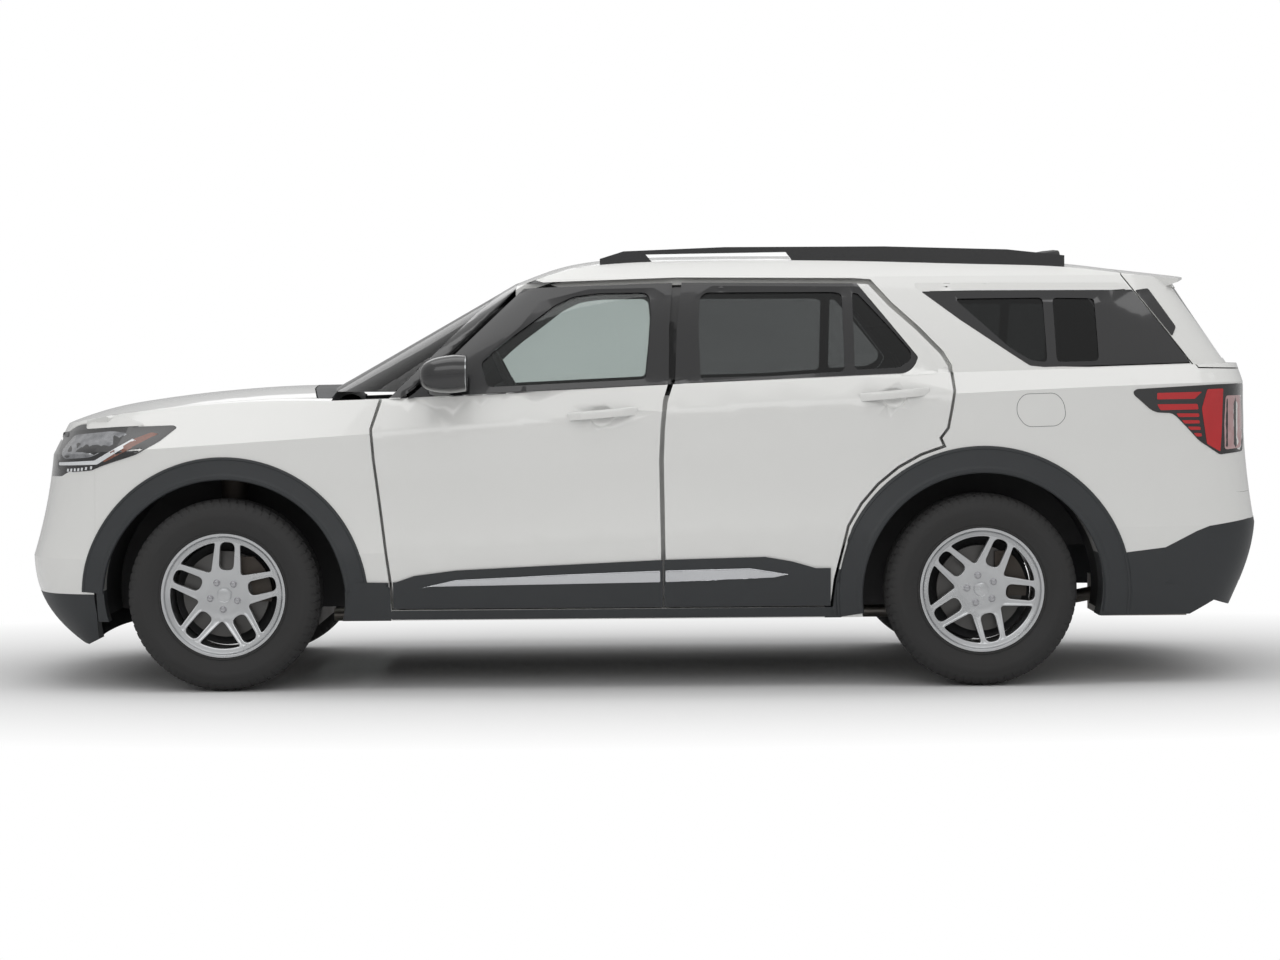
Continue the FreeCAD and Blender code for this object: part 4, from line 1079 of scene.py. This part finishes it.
headLook = {
    "lower": 0.0012,            # how far the covers lie off the car, and those on them
    "upper": 0.0034,
    # Finish, rounding of the corners and thickness
    "base": {"housing": ("lampBlack", 0.012, 0.0024), "top": ("whitePaint", 0.01, 0.0024)},
    "upon": {"bowls": ("lampChromePaintedReflections", 0.02, 0.0012), "reflector": ("lampAmber", 0.006, 0.002),
             "line": ("lampWhite", 0.004, 0.0034)},
    "housing": [(2297, 1040), (2092, 1056), (1867, 1063), (1853, 1054), (1918, 1000), (2009, 948),
                (2146, 905), (2195, 885), (2276, 878), (2310, 883), (2352, 889), (2356, 1033)],
    "bowls": [(2290, 1024), (2120, 1041), (2050, 1032), (2110, 977), (2200, 937), (2320, 929), (2338, 960)],
    "line": [(2346, 915), (2180, 925), (2029, 1011), (2012, 1003), (2170, 909), (2346, 903)],
    "reflector": [(2140, 918), (2040, 968), (1925, 1030), (1955, 1036), (2020, 1012), (2155, 936)],
    "blocks": [(2300, 888), (2284, 889), (2268, 890), (2252, 891), (2236, 893), (2218, 896), (2196, 899)],
    # White over what the frame's lamp has beyond the real outline
    "top": [(2240, 1048), (2092, 1057.5), (1990, 1061.5), (2002, 1071), (2064, 1092), (2130, 1104),
            (2240, 1084)],
}


def makeHeadlamp(side):
    surface = surfaceOf("headlamps", "front_fenders", "front_bumper_cover")
    for name, (finish, corner, thick) in headLook["base"].items():
        patch("lamp_" + name, surface, headLook[name], side, finish, corner=corner, thick=thick, step=0.018,
              lift=headLook["lower"])
    for name, (finish, corner, thick) in headLook["upon"].items():
        patch("lamp_" + name, surface, headLook[name], side, finish, corner=corner, thick=thick,
              lift=headLook["upper"])
    bm = bmesh.new()
    for x, z in headLook["blocks"]:
        block = roundLine(metres([(x - 4, z - 9), (x + 4, z - 9), (x + 2, z + 3), (x - 6, z + 3)]), 0.001, 2)
        copyInto(bm, drapedOn(surface, block, side, headLook["upper"], 0.002, step=0.02, edgeStep=0.01))
    addPiece("lamp_blocks_" + side, bm, "lampWhite", "body")


for side in wayOf:
    makeHeadlamp(side)
print("lamps: heads and tails")


# Door handles: a bowed strap over a round hollow cut into the door

handleLook = {
    "front": {"ends": ((283, 1086), (11, 1108)), "cup": (150, 1094)},
    "rear": {"ends": ((-878, 1154), (-1150, 1176)), "cup": (-1011, 1162)},
    "stand": 0.030,
    "tall": 0.034,
    "thick": 0.013,
    "sink": 0.006,              # how far the strap's ends go into the door
    "cupRadius": 0.050,
    "cupDepth": 0.030,
    "cupOut": 0.004,            # the hollow's middle from the door's face
}


def cutOut(body, cutter):
    # The mesh less the cutter, by an exact boolean
    solid, tool = placed("solid", meshFrom("solid", body)), placed("tool", meshFrom("tool", cutter))
    step = solid.modifiers.new("cut", "BOOLEAN")
    step.object = tool
    step.operation = "DIFFERENCE"
    step.solver = "EXACT"
    bpy.context.view_layer.update()
    shown = solid.evaluated_get(bpy.context.evaluated_depsgraph_get())
    result = bpy.data.meshes.new_from_object(shown)
    bm = bmesh.new()
    bm.from_mesh(result)
    for one in (solid, tool):
        bpy.data.objects.remove(one)
    bpy.data.meshes.remove(result)
    return bm


def makeHandle(end, side):
    way = wayOf[side]
    look = handleLook
    door = "door_%s_%s" % (end, side)
    surface = surfaceOf(door + "_panel")
    (x0, z0), (x1, z1) = look[end]["ends"]
    points = []
    for k in range(25):
        t = k / 24
        x, z = (x0 + (x1 - x0) * t) / 1000, (z0 + (z1 - z0) * t) / 1000
        rise = look["stand"] * min(1, math.sin(math.pi * t) * 1.5 + 0.05) - look["sink"]
        points.append(Vector((x, sideY(surface, x, z, way) + way * rise, z)))
    strap = sweptAlong(points, ringOf(16, look["thick"] / 2, look["tall"] / 2, 0.6))
    addPiece("handle_%s_%s" % (end, side), strap, "whitePaint", door, 40)
    x, z = metres([look[end]["cup"]])[0]
    y = sideY(surface, x, z, way) + way * look["cupOut"]
    cutter = bmesh.new()
    bmesh.ops.create_uvsphere(cutter, u_segments=40, v_segments=24, radius=1)
    for vertex in cutter.verts:
        vertex.co = Vector((vertex.co.x * look["cupRadius"], vertex.co.z * look["cupDepth"],
                            vertex.co.y * look["cupRadius"]))
    bmesh.ops.translate(cutter, vec=(x, y, z), verts=cutter.verts)
    bmesh.ops.recalc_face_normals(cutter, faces=cutter.faces)
    panel = addPiece("panel_" + door, cutOut(nodeMesh(door + "_panel"), cutter), "whitePaint", door, 30)
    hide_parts(door + "_panel")


for side in wayOf:
    makeHandle("front", side)
    makeHandle("rear", side)
print("handles")


# Fuel flap: the thin line round it, on the left side only

flapLook = {
    "outline": [(-1500, 1127), (-1501, 1080), (-1537, 1032), (-1664, 1035), (-1696, 1070), (-1687, 1130),
                (-1655, 1166), (-1528, 1163)],
    "width": 0.0022,
    "corner": 0.03,
}


def makeFlapLine():
    surface = surfaceOf("body_side_left")
    line = finer(roundLine(metres(flapLook["outline"]), flapLook["corner"], 6), 0.012)
    points = [Vector((p.x, sideY(surface, p.x, p.y, 1) + 0.00005, p.y)) for p in line]
    half = flapLook["width"] / 2
    section = [(-half, -0.0006), (half, -0.0006), (half, 0.0002), (-half, 0.0002)]
    bm = sweptAlong(points, section, True, Vector((0, 1, 0)))
    addPiece("fuel_flap_line", bm, "shadowLine", "body")


makeFlapLine()


# Mirrors: a rounded wedge on a foot, with the mirror glass

mirrorLook = {
    "low": (0.684, 0.905, 1.176),
    "high": (0.868, 1.130, 1.343),
    "square": 0.62,             # 1 is a round section, and less is squarer
    "footSize": (0.055, 0.016),
    "glass": (0.38, 0.40),      # half of its part of the housing's width and height
    "foot": [(0.790, 0.885, 1.178), (0.790, 0.925, 1.190), (0.785, 0.965, 1.212), (0.780, 0.99, 1.236)],
}


def makeMirror(side):
    way = wayOf[side]
    (x0, y0, z0), (x1, y1, z1) = mirrorLook["low"], mirrorLook["high"]
    midY, midZ = (y0 + y1) / 2 + 0.012, (z0 + z1) / 2 + 0.004
    rows = []
    for k in range(25):
        t = k / 24      # from the rear face forwards to the nose
        x = x0 + (x1 - x0) * (1 - (1 - t) ** 1.35)
        size = math.sqrt(max(0.0001, 1 - t ** 2.6)) * (0.94 + 0.06 * min(1, t * 6))
        row = []
        for wide, tall in ringOf(40, 1, 1, mirrorLook["square"]):
            y = midY + wide * size * (y1 - y0) * 0.445
            z = midZ + tall * size * (z1 - z0) * 0.48 * (1 - 0.10 * (wide + 1) / 2) - 0.012 * t
            row.append((x, way * y, z))
        rows.append(row)
    bm = joinRows(rows, ends=True)
    foot = [Vector((x, way * y, z)) for x, y, z in mirrorLook["foot"]]
    copyInto(bm, sweptAlong(foot, ringOf(20, *mirrorLook["footSize"])))
    piece = addPiece("mirror_housing_" + side, bm, "mirrorBlack", "door_front_" + side, 40)
    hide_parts("mirror_" + side)
    wide, tall = mirrorLook["glass"]
    edge = ringOf(40, (y1 - y0) * wide, (z1 - z0) * tall, mirrorLook["square"])
    rows = [[(x, way * (midY + wide), midZ + tall) for wide, tall in edge] for x in (x0 - 0.0018, x0 + 0.001)]
    addPiece("mirror_glass_" + side, joinRows(rows, ends=True), "mirrorGlass", "door_front_" + side, 40)


for side in wayOf:
    makeMirror(side)
print("mirrors and fuel flap")


# Antenna fin on the roof's rear

# Places along the fin: x, height and half width in millimetres
finLook = [(-1600, 1712, 30), (-1644, 1736, 26), (-1700, 1755, 18), (-1750, 1762, 13), (-1795, 1762, 9),
           (-1800, 1748, 12), (-1805, 1706, 20)]


def makeFin():
    rows = []
    for x, z, half in finLook:
        base = 1700 if x > -1800 else 1698
        row = []
        for part in (-1, -0.6, 0, 0.6, 1):
            lift = 1 - abs(part) ** 1.6
            row.append(Vector((x, part * half * (1.5 - 0.5 * lift), base + (z - base) * lift)) / 1000)
        rows.append(row)
    bm = joinRows(rows, around=False)
    bmesh.ops.holes_fill(bm, edges=[e for e in bm.edges if e.is_boundary], sides=0)
    bmesh.ops.subdivide_edges(bm, edges=bm.edges[:], cuts=1, use_grid_fill=True, smooth=0.6)
    addPiece("antenna_fin", bm, "mirrorBlack", "body", 60)


makeFin()


# Grille: staggered cells on the plain plate

grilleLook = {
    "half": 0.545,
    "low": 0.578,
    "high": 0.945,
    "rows": 9,
    "cells": 11,
    "bar": 0.007,
    "stand": 0.006,
    "step": 0.03,               # between the points along a bar
}


def frontX(surface, y, z):
    spot = surface[0][0].ray_cast(Vector((4, y, z)), Vector((-1, 0, 0)))[0]
    return spot.x if spot is not None else None


def makeGrille():
    look = grilleLook
    surface = surfaceOf("grille")
    bm = bmesh.new()
    tall = (look["high"] - look["low"]) / look["rows"]
    wide = 2 * look["half"] / look["cells"]
    bars = []
    for row in range(look["rows"] + 1):
        z = look["low"] + row * tall
        bars.append(((-look["half"], z), (look["half"], z)))
        if row < look["rows"]:
            for k in range(look["cells"] + 1):
                y = -look["half"] + (k + (0.5 if row % 2 else 0)) * wide
                if abs(y) < look["half"]:
                    bars.append(((y, z), (y, z + tall)))
    for a, b in bars:
        count = max(2, int(math.dist(a, b) / look["step"]))
        points = []
        for k in range(count + 1):
            y, z = a[0] + (b[0] - a[0]) * k / count, a[1] + (b[1] - a[1]) * k / count
            x = frontX(surface, y, z)
            if x is not None:
                points.append(Vector((x - 0.001, y, z)))
        if len(points) < 2:
            continue
        half, stand = look["bar"] / 2, look["stand"]
        flat = abs(a[1] - b[1]) < 0.001
        up = Vector((0, 0, 1)) if flat else Vector((0, 1, 0))
        out = 1 if (points[-1] - points[0]).cross(up).x > 0 else -1
        edge = out * stand * 0.8
        section = [(0, -half), (edge, -half * 0.7), (out * stand, 0), (edge, half * 0.7), (0, half)]
        copyInto(bm, sweptAlong(points, section, False, up))
    addPiece("grille_cells", bm, "glossBlack", "body", 40)


makeGrille()
print("grille")


# Seats: crowned cushions with sewn channels in place of the plain blocks

seatLook = {
    "channel": 0.007,           # depth and half width of the sewn channels
    "seam": 0.84,               # the seam's place between a pad's middle and its edge
    "seamWidth": 0.006,
    "crown": 0.022,
    "tuck": 0.022,              # how far the pads' sides are drawn in
    "base": (0.530, 0.150),     # length and thickness
    "back": 0.118,
    "head": (0.135, 0.085),     # height and thickness of the head rests
    "gap": 0.006,               # between two pads
    "post": 0.006,
    "front": {"x": 0.250, "y": (0.400, -0.400), "wide": 0.520, "floor": 0.330, "top": 1.260},
    "middle": {"x": -0.600, "y": (0.433, 0, -0.433), "wide": 0.425, "floor": 0.330, "top": 1.270},
    "rear": {"x": -1.560, "y": (0.262, -0.262), "wide": 0.520, "floor": 0.570, "top": 1.240},
}


def cushion(size, channels=(), across=36, deep=30):
    # A closed crowned pad about its own middle: size is (length, width, thickness), channels run along it
    length, width, thick = size
    channel, seam = seatLook["channel"], seatLook["seam"]
    bm = bmesh.new()
    sheets = []
    for way in (1, -1):
        sheet = []
        for i in range(deep + 1):
            u = math.sin(math.pi / 2 * (2 * i / deep - 1))
            row = []
            for k in range(across + 1):
                v = math.sin(math.pi / 2 * (2 * k / across - 1))
                edge = (1 - abs(u) ** 7) * (1 - abs(v) ** 7)
                rise = thick / 2 * max(0, edge) ** 0.36 - seatLook["crown"] * (u * u + v * v) / 2
                rise = max(rise, 0)
                if way > 0 and rise > 0:
                    for place in channels:
                        near = abs(v - place) * width / 2
                        rise -= channel * math.exp(-(near / channel) ** 2) * (1 - abs(u) ** 8)
                    ring = min(abs(abs(u) - seam) * length / 2, abs(abs(v) - seam) * width / 2)
                    if max(abs(u), abs(v)) < seam + 0.02:
                        rise -= 0.6 * channel * math.exp(-(ring / seatLook["seamWidth"]) ** 2)
                pull = 1 - seatLook["tuck"] * (1 - v * v)
                tuck = 1 - seatLook["tuck"] * (1 - u * u)
                spot = (u * length / 2 * pull, v * width / 2 * tuck, way * rise)
                border = i in (0, deep) or k in (0, across)
                row.append(sheets[0][i][k] if way < 0 and border else bm.verts.new(spot))
            sheet.append(row)
        sheets.append(sheet)
    for sheet, flip in zip(sheets, (False, True)):
        for i in range(deep):
            for k in range(across):
                face = (sheet[i][k], sheet[i + 1][k], sheet[i + 1][k + 1], sheet[i][k + 1])
                bm.faces.new(face[::-1] if flip else face)
    return bm


def makeSeats(row):
    look = seatLook[row]
    x, floor, top = look["x"], look["floor"], look["top"]
    head, headThick = seatLook["head"]
    length, thick = seatLook["base"]
    wide = look["wide"] - seatLook["gap"]
    bm = bmesh.new()
    for y in look["y"]:
        base = cushion((length, wide, thick), (-0.5, 0.5))
        bmesh.ops.translate(base, vec=(x + 0.008, y, floor + 0.255), verts=base.verts)
        low, high = Vector((x - 0.190, y, floor + 0.215)), Vector((x - 0.335, y, top - head - 0.012))
        back = cushion(((high - low).length, wide, seatLook["back"]), (-0.5, 0.5))
        lean = (high - low).to_track_quat("X", "Z").to_matrix().to_4x4()
        bmesh.ops.transform(back, matrix=Matrix.Translation((low + high) / 2) @ lean, verts=back.verts)
        rest = cushion((head, min(0.28, look["wide"] * 0.6), headThick), (), 24, 20)
        place = Vector((x - 0.350, y, top - head / 2))
        bmesh.ops.transform(rest, matrix=Matrix.Translation(place) @ lean, verts=rest.verts)
        for pad in (base, back, rest):
            copyInto(bm, pad)
        for off in (-0.05, 0.05):
            ends = [high + Vector((0.004, off, -0.05)), place + Vector((0, off, -0.02))]
            copyInto(bm, sweptAlong(ends, ringOf(10, seatLook["post"]), up=Vector((0, 1, 0))))
    seats = addPiece(row + "_seat_cushions", bm, "seatCloth", "body", 50)
    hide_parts(row + "_seats")


for row in ("front", "middle", "rear"):
    makeSeats(row)
print("seats")
